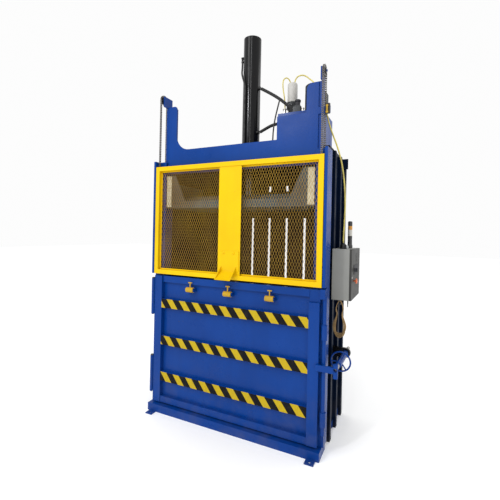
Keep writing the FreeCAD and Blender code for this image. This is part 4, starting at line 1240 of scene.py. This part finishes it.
@dataclass
class ControlBox:
    """Small parts on the control box: glands, beacon, selector, stop button and latch."""

    gland: float = 0.010
    stem: float = 0.006
    knob_face: float = 0.0163
    latch_in: float = 0.022
    latch_drop: float = 0.02

    def build(self) -> None:
        """Makes the fittings."""
        self.glands()
        self.conduit()
        self.beacon()
        self.selector()
        self.stop()
        self.trim()

    def glands(self) -> None:
        """Makes the cable glands."""
        low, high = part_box("cable_glands")
        piece = Solid("CableGlands")
        tall = high[2] - low[2]
        radius = self.gland
        for across, back in ((low[0] + radius, low[1] + radius),
                             (high[0] - radius, low[1] + radius),
                             (low[0] + radius, high[1] - radius)):
            piece.turned((across, back, low[2]), Axis.Z, [
                (0.0, radius), (0.004, radius), (0.0042, 0.008), (0.007, 0.008),
                (0.0072, radius), (0.018, radius), (0.024, 0.0078), (tall, 0.0062)], 12)
        piece.finish(Paint.GLAND, "frame", "light_plastic", ("cable_glands",))

    def conduit(self) -> None:
        """Makes the cast hub that the power cable enters the box through."""
        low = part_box("cable_glands")[0]
        across, back = low[0] + self.gland, low[1] + self.gland
        hub = Solid("ConduitHub")
        hub.turned((across, back, low[2] + CLEAR), Axis.Z, [
            (0.0, 0.030), (0.006, 0.030), (0.008, 0.024), (0.026, 0.024), (0.036, 0.019),
            (0.044, 0.011), (0.046, 0.0075), (0.046, 0.0)], 36)
        hub.finish(Paint.PIPE, "frame", "pipe_steel")

    def beacon(self) -> None:
        """Makes the stacked signal light."""
        low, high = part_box("beacon")
        centre = halfway(low, high)[:2]
        tall = high[2] - low[2]
        outline = [(0.0, 0.022), (0.022, 0.022), (0.030, 0.0185)]
        for step in range(1, 5):
            level = 0.030 + (tall - 0.030) * step / 5
            outline += [(level - 0.003, 0.018), (level - 0.0025, 0.0168),
                        (level + 0.0005, 0.0168), (level + 0.001, 0.018)]
        outline += [(tall - 0.006, 0.018), (tall, 0.012), (tall, 0.0)]
        piece = Solid("SignalLight").turned((*centre, low[2]), Axis.Z, outline, 40)
        piece.finish(Paint.LIGHT, "frame", "amber_lens", ("beacon",))

    def selector(self) -> None:
        """Makes the selector knob."""
        low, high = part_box("selector_knob")
        radius = (high[1] - low[1]) / 2
        place = (low[0], *halfway(low, high)[1:])
        face = self.knob_face
        knob = Solid("Selector")
        knob.turned(place, Axis.X, [(0.0, self.stem), (face - 0.0001, self.stem), (face, radius),
                                    (face + 0.006, radius), (face + 0.007, radius - 0.002),
                                    (face + 0.012, radius - 0.003), (face + 0.013, 0.0)], 36)
        knob.box((place[0] + face + 0.012, place[1] - 0.004, place[2] - radius + 0.002),
                 (high[0], place[1] + 0.004, place[2] + radius - 0.002))
        knob.finish(Paint.KNOB, "selector", "black_plastic", ("selector_knob",), 0.0008)

    def stop(self) -> None:
        """Makes the mushroom stop button."""
        low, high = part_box("stop_button")
        radius = (high[1] - low[1]) / 2
        place = (low[0], *halfway(low, high)[1:])
        wide = high[0] - low[0]
        piece = Solid("StopButton")
        piece.turned(place, Axis.X, [
            (0.0, self.stem), (wide - 0.013, self.stem), (wide - 0.012, radius - 0.002),
            (wide - 0.010, radius), (wide - 0.005, radius), (wide - 0.002, radius - 0.004),
            (wide, radius - 0.012), (wide, 0.0)], 40)
        piece.finish(Paint.STOP, "stop", "orange_plastic", ("stop_button",))

    def trim(self) -> None:
        """Adds the hub of the door's latch and the dark pane of its gauge."""
        low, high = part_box("control_door")
        level = halfway(low, high)[2] - self.latch_drop
        latch = Solid("BoxLatch")
        latch.turned((high[0] + 0.0001, low[1] + self.latch_in, level), Axis.X,
                     [(0.0, 0.009), (0.003, 0.009), (0.004, 0.0075), (0.004, 0.0)], 24)
        latch.finish(Paint.BRIGHT, "box_door", "ground_steel")
        pane = Solid("BoxGauge")
        pane.box((high[0] + 0.0001, low[1] + 0.10, high[2] - 0.20),
                 (high[0] + 0.003, low[1] + 0.30, high[2] - 0.125))
        pane.finish(Paint.KNOB, "box_door", "black_plastic", round_edges=0.0015)


@dataclass
class CordHank:
    """A hank of thin cord hung over a peg, tied near its middle."""

    radius: float = 0.0028
    gathered: float = 0.62
    half_widths: tuple[float, ...] = (0.034, 0.047, 0.040, 0.049, 0.030, 0.044, 0.049, 0.037,
                                      0.045)
    rises: tuple[float, ...] = (0.0, 0.020, 0.006, 0.032, 0.012, 0.002, 0.026, 0.009, 0.017)

    def build(self) -> None:
        """Makes the loops and the tie in place of the plain ring."""
        low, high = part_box("cord_hank")
        middle = halfway(low, high)[0]
        tie = low[2] + self.gathered * (high[2] - low[2])
        loops = []
        last = len(self.half_widths) - 1
        for turn, (wide, rise) in enumerate(zip(self.half_widths, self.rises)):
            depth = low[1] + 0.004 + turn / last * (high[1] - low[1] - 0.008)
            loops += self.loop(middle, depth, wide, low[2] + self.radius + rise, tie,
                               high[2] - 0.0112)
        piece = smooth_line("CordLoops", self.radius, loops, sides=3, steps=8)
        dress(piece, Paint.CORD, "frame", ("cord_hank",))

    def loop(self, middle: float, depth: float, wide: float, bottom: float, tie: float,
             top: float) -> list[Point]:
        """One turn of cord, from the peg down one side and up the other.

        Args:
            middle: X of the hank's middle.
            depth: Y of this turn.
            wide: Half the width of its lower part.
            bottom: Height of its lowest point.
            tie: Height at which the turns are gathered.
            top: Height over the peg.

        Returns:
            The turn's points in order.
        """
        neck = 0.016
        half = [(0.006, top), (0.020, top - 0.022), (0.030, top - 0.070), (neck, tie),
                (wide, tie - 0.075), (wide, bottom + 0.038), (wide * 0.55, bottom)]
        down = [(middle - across, depth, level) for across, level in half]
        back = [(middle + across, depth, level) for across, level in reversed(half)]
        return down + back


def cords() -> list[Cord]:
    """Every hose, pipe and cable that the machine holds along its whole length.

    Returns:
        The cords, with their points in millimetres.
    """
    return [
        Cord("PressureHose", 0.0135, [
            (105, 360, 2930), (190, 356, 2877), (290, 353, 2806), (365, 356, 2738),
            (401, 360, 2696), (401, 360, 2655)], Paint.HOSE, "hose_rubber", "pressure_hose"),
        Cord("ReturnHose", 0.0135, [
            (105, 352, 2538), (160, 350, 2562), (215, 350, 2584), (265, 350, 2592),
            (311.7, 350, 2592)],
            Paint.HOSE, "hose_rubber", "return_hose"),
        Cord("CapPipe", 0.008, [
            (-22, 284, 2340.3), (-22, 284, 2900), (-22, 284, 2950), (-64, 292, 3060),
            (-86, 345, 3140), (-86, 345, 3192.7)], Paint.PIPE, "pipe_steel", "cap_pipe"),
        Cord("SupportRod", 0.006, [
            (271, 243.7, 2340.3), (271, 243.7, 2420), (275, 243.7, 2510), (288, 243.7, 2600),
            (307, 243.7, 2680), (327, 243.7, 2756)], Paint.PIPE, "pipe_steel", "support_rod"),
        Cord("PowerCable", 0.0058, [
            (390, 440, 2968.3), (392, 446, 2994), (412, 449, 3024), (452, 450, 3030),
            (492, 430, 3006), (534, 380, 2958), (580, 300, 2900), (625, 215, 2840),
            (668, 180, 2775), (708, 180, 2690), (736, 180, 2600), (756, 184, 2500),
            (790, 190, 2400), (828, 200, 2300), (856, 215, 2195), (872, 235, 2080),
            (880, 258, 1960), (880, 278, 1830), (873, 292, 1715), (868, 300, 1620),
            (868, 300, 1550)], Paint.CABLE, "yellow_cable", "power_cable"),
        Cord("LoopCable", 0.0052, [
            (354, 428, 2968.3), (350, 424, 2990), (330, 404, 3010), (306, 390, 2996),
            (298, 385, 2960), (302, 385, 2905), (312, 388, 2850), (320, 390, 2790),
            (322, 391, 2730), (322, 391, 2640.3)], Paint.CABLE, "yellow_cable", "loop_cable"),
    ]


def main() -> None:
    """Builds the machine's looks around its solid model."""
    logging.basicConfig(level=logging.INFO, format="%(name)s: %(message)s")
    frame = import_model()
    Studio().build()
    NodeFinishes().build(frame["nodes"])
    FeedGate().build()
    ChainDrive().build()
    GateSwitch().build()
    PressRam().build()
    PowerUnit().build()
    ControlBox().build()
    CordHank().build()
    for cord in cords():
        cord.build()


if __name__ == "__main__":
    main()
